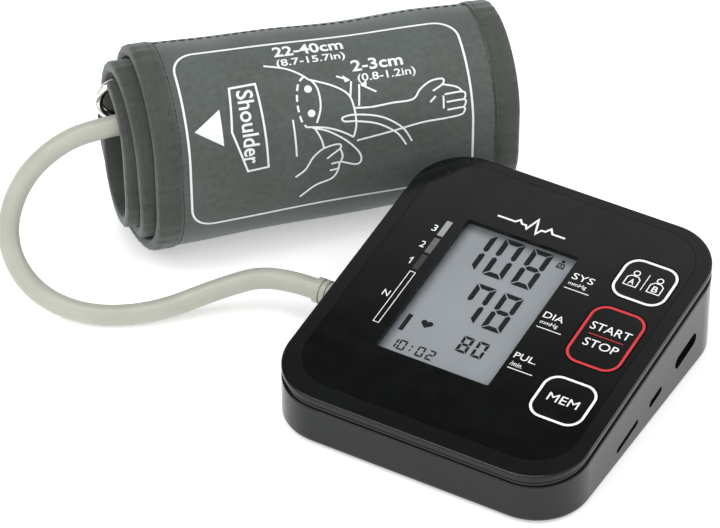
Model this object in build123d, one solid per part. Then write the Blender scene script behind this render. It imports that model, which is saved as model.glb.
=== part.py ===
from build123d import *
import math
import os

# Upper-arm blood pressure monitor: wedge-shaped monitor unit, air hose and rolled-up cuff.
# Millimetres, +Z up, standing on z = 0. The unit is drawn about its own centre, the cuff along its
# own roll axis, and both are placed so that the origin is the middle of the footprint.

# ---------------------------------------------------------------------------------------------
# Monitor unit: driving dimensions
# ---------------------------------------------------------------------------------------------
BODY_W = 122.0          # over the side walls
BODY_D = 133.0          # front to back
BODY_R = 21.0           # corner radius in plan
BODY_Y = -1.5           # body centre against the panel centre
BASE_Z = 0.6            # underside of the housing; the feet reach the floor
BASE_ROUND = 2.0        # rounding from the walls into the underside
INNER_ROUND = 1.0
WALL = 2.2
FLOOR = 1.8

TILT = 7.9              # slope of the panel, rear side up
PANEL_Z = 31.2          # height of the panel's middle
PANEL_W = 110.0
PANEL_L = 122.2
PANEL_R = 17.0
PANEL_T = 2.0
DECK_T = 2.0            # deck of the top case under the panel
RIM_ROUND = 0.8         # rounding along the top case's outer edge
PARTING = -5.0          # joint between top case and lower housing, below the panel's face
BAND_TOP = -1.7         # the recessed band under the rim runs from here to the joint
GROOVE = 0.8            # depth of the band
LINE_LEVEL, LINE_H = -3.4, 0.35     # fine line along the band
LINE_DEPTH = 0.3
EDGE_ROUND = 0.5        # rounding along the housing's upper edge
LIP_T = 1.2             # lip of the top case inside the housing wall
LIP_DEPTH = 2.0
GAP = 0.15              # clearance between fixed mouldings

# Keys, in panel coordinates: centre across, centre up the slope, width, length
KEY_GAP = 0.35
KEY_R = 6.5
KEY_TRAVEL = 0.8
KEYS = {
    "user_key": (41.5, 33.8, 22.0, 20.8),
    "start_stop_key": (41.3, 2.9, 22.0, 30.3),
    "memory_key": (41.5, -30.4, 21.6, 21.5),
}
KEY_SKIRT = 1.1         # flange at a key's sides, under the deck, that holds it in
KEY_STEM = 1.9          # length of the stem below the flange

# Display, in panel coordinates
WINDOW_X, WINDOW_Y = -8.9, -0.5
WINDOW_W, WINDOW_L = 46.0, 70.4
LCD_W, LCD_L, LCD_T = 50.0, 74.0, 2.2
LCD_TOP = -2.4
HOLDER_W, HOLDER_L = 54.0, 78.0
BOARD_TOP = -10.0
BOARD_T = 1.6
BOARD_X, BOARD_W, BOARD_L = 11.5, 86.0, 112.0

# Case screws and their posts
POST_X, POST_FRONT, POST_REAR = 45.0, -50.0, 48.6
POST_R = 3.6
SCREW_R = 1.5

# Battery bay and its door
CELL_R, CELL_L = 7.25, 50.5
CELL_Z = 10.8
CELL_PITCH = 15.2
BAY_X, BAY_FRONT, BAY_REAR = 31.4, 1.6, 57.0
BAY_WALL = 1.2
BAY_ROOF = 18.2
BAY_REAR_FOOT = 5.4     # lower edge of the bay's rear wall, clear of the door's rounded end
DOOR_X = 33.0
DOOR_FRONT = 0.4
DOOR_TOP = 11.0
DOOR_GAP = 0.3
RAIL_W, RAIL_T = 1.6, 0.7
RAIL_FRONT, RAIL_REAR = 5.0, 52.0

SPRING_TURNS = 5

# Air pump, exhaust valve and feet
PUMP_X, PUMP_Z = -45.5, 13.8
PUMP_FRONT, PUMP_SPLIT, PUMP_REAR = 1.0, 14.0, 38.0
NOZZLE_END = -1.0       # front end of the pump head's outlet
VALVE_Y, VALVE_Z = -32.0, 11.0
FOOT_R = 5.0

# Hose socket in the left wall
SOCKET_Y, SOCKET_Z = -8.0, 16.0
SOCKET_R = 5.5
SOCKET_BORE = 2.5
PLUG_R = 2.46
PLUG_LENGTH = 9.0

# Slots in the right wall: middle along y, height of the middle, half length, half height
SLOTS = ((29.5, 14.6, 8.6, 2.7), (5.4, 10.6, 5.0, 1.5), (-16.8, 8.6, 8.4, 1.2))

# ---------------------------------------------------------------------------------------------
# Cuff: driving dimensions
# ---------------------------------------------------------------------------------------------
CUFF_WIDTH = 142.0
CUFF_ANGLE = 46.0       # roll axis against the unit's X axis
CUFF_X, CUFF_Y = -159.0, 6.0        # foot of the roll axis at the left end, from the unit's centre
ROLL_R = 33.0           # outermost half turn
ROLL_STRAIGHT = 18.0    # upright run between the half turns
ROLL_STEP = 2.5         # each half turn is this much smaller than the last
ROLL_TAPER = 0.08       # the right end is this fraction smaller than the left
HALF_TURNS = 6
LAST_TURN = 100.0       # degrees covered by the last half turn
BINDING_W = 9.5
COVER_T, BLADDER_T, LINER_T = 1.0, 1.4, 0.9
LOOSE = 0.05            # air between the cuff's plies
PATCH_T = 0.7
RING_WIRE_R = 1.8
RING_L, RING_W = 151.0, 15.0
RING_MIDDLE = 63.0      # along the roll, so that only the left end shows
SLEEVE_R = 3.1

# Air hose
HOSE_R, HOSE_BORE = 4.0, 2.0
HOSE_INSET = 8.3        # depth of the hose's start below the innermost turn's outer face
HOSE_STATION = 49.0     # degrees round the last half turn to the hose's start
HOSE_ROUTE = [          # from the bladder's nipple, inside the roll, to the plug
    (-148.7, 1.6, 60.2),
    (-160.9, -11.0, 60.2),
    (-174.6, -22.0, 54.8),
    (-185.5, -34.0, 40.0),
    (-184.5, -47.0, 22.5),
    (-169.0, -54.5, 9.5),
    (-147.0, -52.5, 4.3),
    (-125.0, -38.5, 4.3),
    (-107.5, -18.5, 10.0),
    (-91.0, -8.0, 16.0),
    (-72.0, -8.0, 16.0),
]
COLLAR_R = 4.9
NIPPLE_L = 15.0         # stub on the bladder, inside the roll
NECK_R = 2.2            # neck from the stub through the liner
NECK_W = 11.0           # from the hose's start to the neck
NECK_SEAT = 3.0         # the neck's root, inside the stub's wall


# ---------------------------------------------------------------------------------------------
# Frames and small helpers
# ---------------------------------------------------------------------------------------------
SLOPE = math.radians(TILT)
PANEL = Plane(origin=(0, 0, PANEL_Z), x_dir=(1, 0, 0), z_dir=(0, -math.sin(SLOPE), math.cos(SLOPE)))
BIG = 400.0


def panel_block(width, length, radius, low, high, x=0.0, y=0.0):
    """Rounded block between two levels along the panel's normal."""
    face = PANEL.offset(low) * Pos(x, y) * RectangleRounded(width, length, radius)
    return extrude(face, amount=high - low)


def panel_rod(radius, low, high, x, y):
    face = PANEL.offset(low) * Pos(x, y) * Circle(radius)
    return extrude(face, amount=high - low)


def above(level):
    """Everything above a level of the panel's normal."""
    return PANEL.offset(level) * Box(BIG, BIG, BIG, align=(Align.CENTER, Align.CENTER, Align.MIN))


def body_block(inset, low, round_r):
    """The unit's outer form, or its hollow when inset, with a rounded underside."""
    outline = RectangleRounded(BODY_W - 2 * inset, BODY_D - 2 * inset, BODY_R - inset)
    block = extrude(Pos(0, BODY_Y, low) * outline, amount=60)
    return fillet(block.edges().group_by(Axis.Z)[0], round_r)


def span_box(x0, x1, y0, y1, z0, z1):
    return Pos((x0 + x1) / 2, (y0 + y1) / 2, (z0 + z1) / 2) * Box(x1 - x0, y1 - y0, z1 - z0)


def rod_x(radius, x0, x1, y, z):
    return Pos((x0 + x1) / 2, y, z) * Rot(0, 90, 0) * Cylinder(radius, x1 - x0)


def rod_y(radius, y0, y1, x, z):
    return Pos(x, (y0 + y1) / 2, z) * Rot(90, 0, 0) * Cylinder(radius, y1 - y0)


def rod_z(radius, z0, z1, x, y):
    return Pos(x, y, (z0 + z1) / 2) * Cylinder(radius, z1 - z0)


def panel_height(y, level):
    """World height of a panel level at a place along the unit."""
    return PANEL_Z + y * math.tan(SLOPE) + level / math.cos(SLOPE)


def corners():
    return [(x, y) for x in (-POST_X, POST_X) for y in (POST_FRONT, POST_REAR)]


# ---------------------------------------------------------------------------------------------
# Monitor unit
# ---------------------------------------------------------------------------------------------
OUTER = body_block(0, BASE_Z, BASE_ROUND)
HOLLOW = body_block(WALL, BASE_Z + FLOOR, INNER_ROUND)


def make_top_case():
    """Rim and deck: carries the panel, guides the keys and closes the housing."""
    case = (OUTER & above(PARTING)) - above(0)
    case = fillet(case.faces().sort_by(Axis.Z)[-1].edges(), RIM_ROUND)
    case -= panel_block(PANEL_W, PANEL_L, PANEL_R, -PANEL_T, 5)
    case -= HOLLOW - above(-PANEL_T - DECK_T)
    lip_out = body_block(WALL + GAP, BASE_Z + FLOOR, INNER_ROUND)
    lip_in = body_block(WALL + GAP + LIP_T, BASE_Z + FLOOR, INNER_ROUND)
    case += ((lip_out - lip_in) & above(PARTING - LIP_DEPTH)) - above(-PANEL_T - DECK_T / 2)
    case -= (OUTER & above(PARTING)) - above(BAND_TOP) - body_block(GROOVE, 0, INNER_ROUND)
    line = (OUTER & above(LINE_LEVEL - LINE_H)) - above(LINE_LEVEL)
    case -= line - body_block(GROOVE + LINE_DEPTH, 0, INNER_ROUND)
    for x, y in corners():
        post = rod_z(POST_R, post_seat(y), 60, x, y) - above(-PANEL_T - DECK_T / 2)
        case += post
        case -= rod_z(SCREW_R - 0.25, post_seat(y) - 1, post_seat(y) + 8, x, y)
    case -= panel_block(HOLDER_W + 0.6, HOLDER_L + 0.6, 2, -8, 0, WINDOW_X, WINDOW_Y)
    for x, y, w, l in KEYS.values():
        case -= panel_block(w + 2 * KEY_GAP, l + 2 * KEY_GAP, KEY_R + KEY_GAP, -8, 0, x, y)
    return case


def post_seat(y):
    """Height where a top case post meets the housing's boss."""
    return panel_height(y, -16.5)


def make_front_panel():
    """Glossy panel with its cut-outs for the window and the keys."""
    panel = panel_block(PANEL_W - 2 * GAP, PANEL_L - 2 * GAP, PANEL_R - GAP, -PANEL_T, 0)
    panel -= panel_block(WINDOW_W, WINDOW_L, 1, -PANEL_T - 1, 1, WINDOW_X, WINDOW_Y)
    for x, y, w, l in KEYS.values():
        panel -= panel_block(w + 2 * KEY_GAP, l + 2 * KEY_GAP, KEY_R + KEY_GAP, -4, 2, x, y)
    return panel


def make_key(name):
    """Key cap, its holding flange and the stem over its switch."""
    x, y, w, l = KEYS[name]
    deck = -PANEL_T - DECK_T
    cap = panel_block(w, l, KEY_R, deck - 0.1, 0, x, y)
    flange = panel_block(w + 2 * KEY_SKIRT, l, KEY_R, deck - 1.1, deck - 0.1, x, y)
    stem = panel_rod(2.4, deck - 1.1 - KEY_STEM, deck - 1.1, x, y)
    return cap + flange + stem


def make_tact_switches():
    """Switch body and plunger under each key."""
    plunger_top = -PANEL_T - DECK_T - 1.1 - KEY_STEM - KEY_TRAVEL - 0.1
    switches = []
    for x, y, _, _ in KEYS.values():
        base = panel_block(6, 6, 0.3, BOARD_TOP, BOARD_TOP + 1.6, x, y)
        switches.append(base + panel_rod(1.7, BOARD_TOP + 1.6, plunger_top, x, y))
    return switches


def make_lcd_holder():
    """Frame that carries the display on the board."""
    seat = LCD_TOP - LCD_T
    holder = panel_block(HOLDER_W, HOLDER_L, 1.5, BOARD_TOP, LCD_TOP - 0.4, WINDOW_X, WINDOW_Y)
    holder -= panel_block(LCD_W + 0.3, LCD_L + 0.3, 0.5, seat, 0, WINDOW_X, WINDOW_Y)
    holder -= panel_block(WINDOW_W, WINDOW_L, 1, BOARD_TOP - 1, 0, WINDOW_X, WINDOW_Y)
    return holder


def make_contact_strips():
    """Two elastomer strips that carry the signals from the board to the glass."""
    strips = []
    for side in (-1, 1):
        y = WINDOW_Y + side * (WINDOW_L / 2 - 2.2)
        strips.append(panel_block(40, 2, 0.5, BOARD_TOP, LCD_TOP - LCD_T, WINDOW_X, y))
    return strips


def make_main_board():
    board = panel_block(BOARD_W, BOARD_L, 3, BOARD_TOP - BOARD_T, BOARD_TOP, BOARD_X, 0)
    for x, y in corners():
        board -= rod_z(POST_R + 0.6, 0, 60, x, y)
    return board


def make_board_chips():
    """Controller and amplifier packages on the underside of the board."""
    low = BOARD_TOP - BOARD_T
    chips = []
    for x, y, w, l in ((10, -24, 14, 14), (-12, -26, 9, 7), (32, -34, 8, 6)):
        chips.append(panel_block(w, l, 0.4, low - 1.6, low, x, y))
    return chips


def make_buzzer():
    low = BOARD_TOP - BOARD_T
    shell = panel_rod(6, low - 4, low, 44, -18)
    return shell - panel_rod(1, low - 5, low - 3, 44, -18)


def make_pressure_sensor():
    """Sensor package under the board with its air nipple towards the manifold."""
    low = BOARD_TOP - BOARD_T
    package = panel_block(9, 8, 0.4, low - 3.6, low, -26.5, -14)
    nipple = rod_x(1.6, -35, -30.6, -14, panel_height(-14, low - 1.9))
    return package + nipple


def make_pump_motor():
    """Round motor can with its end boss."""
    can = rod_y(9.4, PUMP_SPLIT, PUMP_REAR, PUMP_X, PUMP_Z)
    return can + rod_y(3, PUMP_REAR, PUMP_REAR + 2, PUMP_X, PUMP_Z)


def make_pump_head():
    """Diaphragm head on the motor with its outlet nipple."""
    head = rod_y(9.8, PUMP_FRONT, PUMP_SPLIT, PUMP_X, PUMP_Z)
    return head + rod_y(1.8, NOZZLE_END, PUMP_FRONT, PUMP_X + 2, PUMP_Z)


def make_exhaust_valve():
    """Solenoid valve: square yoke, round coil cover and nipple."""
    yoke = Pos(PUMP_X, VALVE_Y, VALVE_Z) * Box(12, 10, 12)
    coil = rod_y(4.5, VALVE_Y - 11, VALVE_Y - 5, PUMP_X, VALVE_Z)
    return yoke + coil + rod_y(1.8, VALVE_Y + 5, VALVE_Y + 9.6, PUMP_X, VALVE_Z)


def make_air_manifold():
    """Block that joins socket, pump, valve and sensor lines."""
    block = span_box(-50, -41, -18.5, -4.5, 9, 20)
    block -= rod_x(1.2, -51, -45, SOCKET_Y, SOCKET_Z)
    block -= rod_y(1.2, -19, -4, PUMP_X + 2, PUMP_Z)
    return block


def make_air_tubes():
    """Short silicone tubes from the manifold to the pump, the valve and the sensor."""
    sensor_z = panel_height(-14, BOARD_TOP - BOARD_T - 1.9)
    runs = [
        ((PUMP_X + 2, -4.5, PUMP_Z), (PUMP_X + 2, NOZZLE_END, PUMP_Z)),
        ((PUMP_X, -18.5, VALVE_Z), (PUMP_X, VALVE_Y + 9.6, VALVE_Z)),
        ((-41, -14, sensor_z), (-35, -14, sensor_z)),
    ]
    tubes = []
    for start, end in runs:
        path = Line(start, end)
        section = Plane(origin=start, z_dir=path % 0) * (Circle(2.2) - Circle(1.2))
        tubes.append(sweep(section, path))
    return tubes


def make_hose_socket():
    """Socket pressed into the left wall; its bore takes the hose plug."""
    left = -BODY_W / 2
    socket = rod_x(SOCKET_R, left, -50, SOCKET_Y, SOCKET_Z)
    socket += rod_x(SOCKET_R + 0.8, left + WALL + 1, left + WALL + 2.5, SOCKET_Y, SOCKET_Z)
    socket -= rod_x(SOCKET_BORE, left - 1, left + PLUG_LENGTH + 0.6, SOCKET_Y, SOCKET_Z)
    return socket - rod_x(1.2, left, -49, SOCKET_Y, SOCKET_Z)


def door_zone(gap):
    """The stretch of the shell that belongs to the battery door, less a gap all round."""
    return span_box(-DOOR_X + gap, DOOR_X - gap, DOOR_FRONT + gap, 90, -5, DOOR_TOP - gap)


def rail_zone(grow, rear):
    """Strip beside the door's plate on both sides: the door's rails, or their grooves."""
    top = BASE_Z + FLOOR
    strips = []
    for side in (-1, 1):
        inner, outer = side * (DOOR_X - 1), side * (DOOR_X + RAIL_W + grow)
        x0, x1 = sorted((inner, outer))
        strips.append(span_box(x0, x1, RAIL_FRONT - grow, rear, top - RAIL_T - grow / 2, top + grow / 2))
    return strips


def make_lower_housing():
    """Lower shell with the battery bay, the screw bosses and the wall openings."""
    block = OUTER - above(PARTING)
    block = fillet(block.faces().sort_by(Axis.Z)[-1].edges(), EDGE_ROUND)
    shell = (block - HOLLOW) - door_zone(0)
    bay = span_box(-BAY_X - BAY_WALL, BAY_X + BAY_WALL, BAY_FRONT - BAY_WALL, BAY_REAR + BAY_WALL,
                   BASE_Z + FLOOR + GAP, BAY_ROOF + BAY_WALL)
    bay -= span_box(-BAY_X, BAY_X, BAY_FRONT, BAY_REAR, 0, BAY_ROOF)
    bay -= span_box(-BAY_X - 9, BAY_X + 9, BAY_REAR - 3, BAY_REAR + 9, 0, BAY_REAR_FOOT)
    shell += bay
    joint_top = BASE_Z + FLOOR + GAP + 0.01
    for side in (-1, 1):
        x0, x1 = sorted((side * (BAY_X + BAY_WALL), side * (DOOR_X + RAIL_W + 3)))
        shell += span_box(x0, x1, BAY_FRONT - BAY_WALL, 50, joint_top + 0.2, joint_top + 1.4)
        x2, x3 = sorted((side * (DOOR_X + RAIL_W + 1), side * (DOOR_X + RAIL_W + 3)))
        shell += span_box(x2, x3, BAY_FRONT - BAY_WALL, 50, BASE_Z + 1, joint_top + 1.4)
    shell += span_box(-DOOR_X, DOOR_X, DOOR_FRONT - 3, DOOR_FRONT, BASE_Z, joint_top + 4)
    shell += span_box(-BAY_X, BAY_X, DOOR_FRONT - 3, BAY_FRONT, joint_top + 1, joint_top + 4)
    for groove in rail_zone(0.2, BODY_D):
        shell -= groove
    for x, y in corners():
        boss = rod_z(POST_R + 1.2, BASE_Z, post_seat(y) - 0.05, x, y)
        boss -= rod_z(3.0, BASE_Z - 1, BASE_Z + 3.2, x, y)
        shell = shell + boss
        shell -= rod_z(3.0, BASE_Z - 1, BASE_Z + 3.2, x, y)
        shell -= rod_z(SCREW_R + 0.2, BASE_Z, 60, x, y)
    shell -= rod_x(SOCKET_R + GAP, -BODY_W / 2 - 1, -BODY_W / 2 + WALL + 1, SOCKET_Y, SOCKET_Z)
    for y, z, half_length, half_height in SLOTS:
        shell -= wall_slot(y, z, half_length, half_height)
    for x, y in foot_places():
        shell -= rod_z(FOOT_R + GAP, 0, BASE_Z + 0.6, x, y)
    return shell


def wall_slot(y, z, half_length, half_height):
    """Slot through the right wall, parallel to the panel's slope."""
    slot = SlotOverall(2 * half_length, 2 * half_height)
    face = Plane(origin=(BODY_W / 2 - 8, y, z), x_dir=(0, math.cos(SLOPE), math.sin(SLOPE)),
                 z_dir=(1, 0, 0)) * slot
    return extrude(face, amount=20)


def foot_places():
    return [(x, -46) for x in (-32, 32)] + [(x, 36) for x in (-43, 43)]


def make_rubber_feet():
    return [rod_z(FOOT_R, 0, BASE_Z + 0.6, x, y) for x, y in foot_places()]


def make_battery_door():
    """Door: a stretch of the shell with rails that ride in the housing's grooves."""
    door = (OUTER - HOLLOW) & door_zone(DOOR_GAP)
    for rail in rail_zone(0, RAIL_REAR):
        door += rail
    for y in (10, 13, 16):
        door -= rod_x(0.5, -9, 9, y, BASE_Z)
    return door


def make_battery_cells():
    """Four cells side by side, every second one turned round."""
    cells = []
    front = BAY_FRONT + 0.9
    for index in range(4):
        x = (index - 1.5) * CELL_PITCH
        can = rod_y(CELL_R, front + 0.6, front + CELL_L - 0.9, x, CELL_Z)
        if index % 2:
            nub = rod_y(2.6, front - 0.3, front + 0.6, x, CELL_Z)
        else:
            nub = rod_y(2.6, front + CELL_L - 0.9, front + CELL_L, x, CELL_Z)
        cells.append(can + nub)
    return cells


def make_battery_springs():
    """Conical contact springs at one end of each cell, flat contact plates at the other."""
    pieces = []
    for index in range(4):
        x = (index - 1.5) * CELL_PITCH
        plate = span_box(x - 5, x + 5, BAY_FRONT + 0.05, BAY_FRONT + 0.45, 6, 15)
        back = span_box(x - 5, x + 5, BAY_REAR - 0.45, BAY_REAR - 0.05, 6, 15)
        turns = back
        for ring in range(SPRING_TURNS):
            centre = Pos(x, BAY_REAR - 0.8 - 0.7 * ring, CELL_Z) * Rot(90, 0, 0)
            turns += centre * Torus(4.4 - 0.4 * ring, 0.45)
        pieces += [plate, turns]
    return pieces


def make_power_socket():
    """Socket block behind the rear slot of the right wall."""
    y, z = SLOTS[0][0], SLOTS[0][1]
    inner = BODY_W / 2 - WALL - 1.1
    block = span_box(inner - 9, inner, y - 8, y + 8, z - 5.5, z + 3.2)
    hole = extrude(Plane(origin=(inner - 6, y, z), x_dir=(0, math.cos(SLOPE), math.sin(SLOPE)),
                         z_dir=(1, 0, 0)) * SlotOverall(13.4, 4.4), amount=8)
    tongue = span_box(inner - 7, inner - 1.5, y - 3.5, y + 3.5, z - 0.6, z + 0.6)
    return (block - hole) + tongue


def make_case_screws():
    """Pan-head screws driven up through the housing's bosses."""
    screws = []
    for x, y in corners():
        head = rod_z(2.7, BASE_Z + 1.2, BASE_Z + 3.2, x, y)
        shank = rod_z(SCREW_R - 0.25, BASE_Z + 3.2, post_seat(y) + 7, x, y)
        screw = head + shank
        screw -= Pos(x, y, BASE_Z + 1.4) * Box(3.2, 0.6, 1.2)
        screw -= Pos(x, y, BASE_Z + 1.4) * Box(0.6, 3.2, 1.2)
        screws.append(screw)
    return screws


def make_display_window():
    return panel_block(WINDOW_W - 0.1, WINDOW_L - 0.1, 1, -PANEL_T, -0.05, WINDOW_X, WINDOW_Y)


def make_lcd_glass():
    return panel_block(LCD_W, LCD_L, 0.3, LCD_TOP - LCD_T, LCD_TOP, WINDOW_X, WINDOW_Y)


# ---------------------------------------------------------------------------------------------
# Cuff. The roll is drawn in its end plane as half circles joined by upright runs, each half turn
# smaller than the last, and every ply is lofted between the two ends of the roll, which taper.
# ---------------------------------------------------------------------------------------------
ALONG = Vector(math.cos(math.radians(CUFF_ANGLE)), math.sin(math.radians(CUFF_ANGLE)), 0)
ACROSS = Vector(ALONG.Y, -ALONG.X, 0)


def half_turn(index):
    """Centre and outer radius of one half turn; even ones are the lower half."""
    radius = ROLL_R - index * ROLL_STEP
    if index % 2 == 0:
        return (0.0, ROLL_R), radius
    return (ROLL_STEP, ROLL_R + ROLL_STRAIGHT), radius


def roll_point(index, degrees, inset):
    """Point of the roll: lower half turns run from 180 to 360 degrees, upper ones from 0 to 180."""
    (cx, cz), radius = half_turn(index)
    angle = math.radians(degrees)
    return (cx + (radius - inset) * math.cos(angle), cz + (radius - inset) * math.sin(angle))


def roll_arcs(first, start, last, end):
    """The half turns between two stations, with the angles where each begins and ends."""
    arcs = []
    for index in range(first, last + 1):
        low = 180.0 if index % 2 == 0 else 0.0
        a = start if index == first else low
        b = end if index == last else low + 180.0
        arcs.append((index, a, b))
    return arcs


def roll_edges(arcs, inset):
    """Arcs and upright runs of the roll at one depth below its outer face."""
    edges = []
    previous = None
    for index, a, b in arcs:
        begin = roll_point(index, a, inset)
        if previous is not None:
            edges.append(Edge.make_line((*previous, 0), (*begin, 0)))
        middle = roll_point(index, (a + b) / 2, inset)
        finish = roll_point(index, b, inset)
        edges.append(Edge.make_three_point_arc((*begin, 0), (*middle, 0), (*finish, 0)))
        previous = finish
    return edges


def roll_face(arcs, outer, inner):
    """Closed section of one ply, drawn in XY."""
    out = roll_edges(arcs, outer)
    inn = roll_edges(arcs, inner)
    start = Edge.make_line(out[0] @ 0, inn[0] @ 0)
    end = Edge.make_line(out[-1] @ 1, inn[-1] @ 1)
    return Face(Wire([start] + out + [end] + inn))


def roll_scale(w):
    return 1.0 - ROLL_TAPER * w / CUFF_WIDTH


def roll_plane(w):
    """End plane of the roll at a distance along its axis; its x runs across, its y up."""
    return Plane(origin=(CUFF_X + ALONG.X * w, CUFF_Y + ALONG.Y * w, 0), x_dir=ACROSS, z_dir=-ALONG)


def roll_ply(arcs, outer, inner, w0, w1):
    """One ply of the roll between two places along its axis."""
    face = roll_face(arcs, outer, inner)
    ends = [roll_plane(w) * scale(face, by=roll_scale(w)) for w in (w0, w1)]
    return loft(ends, ruled=True)


def cuff_point(w, across, up):
    return Vector(CUFF_X, CUFF_Y, 0) + ALONG * w + ACROSS * across + Vector(0, 0, up)


WHOLE = roll_arcs(0, 180.0, HALF_TURNS - 1, LAST_TURN)
COVER_IN = COVER_T
LINER_OUT = COVER_T + BLADDER_T + 2 * LOOSE
PLY_T = LINER_OUT + LINER_T
INNER_W = (BINDING_W + LOOSE, CUFF_WIDTH - BINDING_W - LOOSE)


def make_cuff_cover():
    return roll_ply(WHOLE, 0, COVER_IN, *INNER_W)


def make_cuff_liner():
    liner = roll_ply(WHOLE, LINER_OUT, PLY_T, *INNER_W)
    return liner - nipple_neck(NECK_R + 0.1, -1)


def make_air_bladder():
    """Bladder between the plies, from the ring end over rather less than half the length."""
    arcs = roll_arcs(3, 90.0, HALF_TURNS - 1, LAST_TURN - 12)
    return roll_ply(arcs, COVER_IN + LOOSE, COVER_IN + LOOSE + BLADDER_T, 14, CUFF_WIDTH - 14)


def make_binding(side):
    """Folded edge binding that closes the plies along one edge."""
    if side == "left":
        return roll_ply(WHOLE, 0, PLY_T, 0, BINDING_W)
    return roll_ply(WHOLE, 0, PLY_T, CUFF_WIDTH - BINDING_W, CUFF_WIDTH)


def make_hook_patch():
    """Hook fastener on the tail's outer face, tucked under the first turn's start."""
    arcs = roll_arcs(2, 190.0, 2, 250.0)
    return roll_ply(arcs, -PATCH_T - LOOSE, -LOOSE, 22, CUFF_WIDTH - 22)


def make_loop_patch():
    """Loop fastener on the outer face further along."""
    arcs = roll_arcs(2, 262.0, 3, 60.0)
    return roll_ply(arcs, -PATCH_T - LOOSE, -LOOSE, 22, CUFF_WIDTH - 22)


def ring_axis():
    """Place of the pull ring's upper bar at the roll's left end, in its end plane."""
    (cx, cz), radius = half_turn(HALF_TURNS - 1)
    angle = math.radians(LAST_TURN)
    reach = radius - PLY_T / 2 - 1.5
    return (cx + reach * math.cos(angle) - SLEEVE_R - 0.6, cz + reach * math.sin(angle))


def ring_point(w):
    """Point of the upper bar's axis, which follows the roll's taper."""
    across, up = (roll_scale(w) * value for value in ring_axis())
    return cuff_point(w, across, up)


RING_ALONG = (ring_point(CUFF_WIDTH) - ring_point(0)).normalized()


def ring_rod(radius, w0, w1):
    start = ring_point(w0)
    plane = Plane(origin=start, z_dir=RING_ALONG)
    return extrude(plane * Circle(radius), amount=(ring_point(w1) - start).length)


def make_ring_sleeve():
    """Fabric sleeve at the inner end of the cuff that holds the ring's upper bar."""
    sleeve = ring_rod(SLEEVE_R, 12, CUFF_WIDTH - 12)
    return sleeve - ring_rod(RING_WIRE_R + 0.08, 10, CUFF_WIDTH - 10)


def make_pull_ring():
    """Long wire ring that the cuff's tail is pulled through, hanging from its sleeve."""
    down = Vector(0, 0, -1) + RING_ALONG * RING_ALONG.Z
    middle = ring_point(RING_MIDDLE) + down.normalized() * (RING_W / 2)
    plane = Plane(origin=middle, x_dir=RING_ALONG, z_dir=RING_ALONG.cross(down))
    path = plane * SlotCenterToCenter(RING_L - RING_W, RING_W).wire()
    section = Plane(origin=path @ 0, z_dir=path % 0) * Circle(RING_WIRE_R)
    return sweep(section, path)


# ---------------------------------------------------------------------------------------------
# Hose and its end pieces
# ---------------------------------------------------------------------------------------------
def route_radii(points):
    """Largest smooth bend at each corner of the route."""
    radii = []
    for before, here, after in zip(points, points[1:], points[2:]):
        incoming, outgoing = here - before, after - here
        turn = math.radians(incoming.get_angle(outgoing))
        shorter = min(incoming.length, outgoing.length)
        radii.append(0.45 * shorter / math.tan(turn / 2))
    return radii


def make_air_hose():
    points = [Vector(*point) for point in HOSE_ROUTE]
    radii = route_radii(points)
    path = FilletPolyline(*points, radius=radii)
    section = Plane(origin=points[0], z_dir=path % 0) * (Circle(HOSE_R) - Circle(HOSE_BORE))
    hose = sweep(section, path)
    area = math.pi * (HOSE_R ** 2 - HOSE_BORE ** 2)
    print("hose length", round(path.length, 1), "radii", [round(r, 1) for r in radii])
    print("hose volume against section times length", round(hose.volume / (area * path.length), 4))
    return hose


def make_plug_collar():
    """Ribbed grip of the plug, on the end of the hose."""
    left = -BODY_W / 2
    end_x = HOSE_ROUTE[-1][0]
    collar = rod_x(COLLAR_R, end_x, left - 0.3, SOCKET_Y, SOCKET_Z)
    for step in range(3):
        x = end_x + 2.4 + 2.4 * step
        collar -= rod_x(COLLAR_R + 1, x, x + 0.8, SOCKET_Y, SOCKET_Z) - rod_x(
            COLLAR_R - 0.5, x, x + 0.8, SOCKET_Y, SOCKET_Z)
    return collar - rod_x(PLUG_R, end_x - 1, left + 1, SOCKET_Y, SOCKET_Z)


def make_air_plug():
    """Hollow nose that enters the socket, with a barb inside the hose."""
    left = -BODY_W / 2
    end_x = HOSE_ROUTE[-1][0]
    nose = rod_x(PLUG_R, end_x, left + PLUG_LENGTH, SOCKET_Y, SOCKET_Z)
    return nose - rod_x(1.0, end_x - 1, 0, SOCKET_Y, SOCKET_Z)


HOSE_START = Vector(*HOSE_ROUTE[0])
NIPPLE_ALONG = (HOSE_START - Vector(*HOSE_ROUTE[1])).normalized()


def nipple_neck(radius, short):
    """Neck from the stub outwards through the liner, ending short of the bladder's inner face."""
    angle = math.radians(HOSE_STATION)
    outwards = ACROSS * math.cos(angle) + Vector(0, 0, math.sin(angle))
    plane = Plane(origin=HOSE_START + NIPPLE_ALONG * NECK_W, z_dir=outwards)
    neck = extrude(plane * Circle(radius), amount=HOSE_INSET - COVER_IN - BLADDER_T - short)
    return neck - extrude(plane * Circle(radius + 1), amount=NECK_SEAT)


def make_bladder_nipple():
    """Rubber stub on the bladder that the hose is bonded to."""
    plane = Plane(origin=HOSE_START, z_dir=NIPPLE_ALONG)
    stub = extrude(plane * (Circle(HOSE_R) - Circle(HOSE_BORE)), amount=NIPPLE_L)
    stub += extrude(plane.offset(NIPPLE_L) * Circle(HOSE_R), amount=1)
    return stub + nipple_neck(NECK_R, 0.95)


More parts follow.
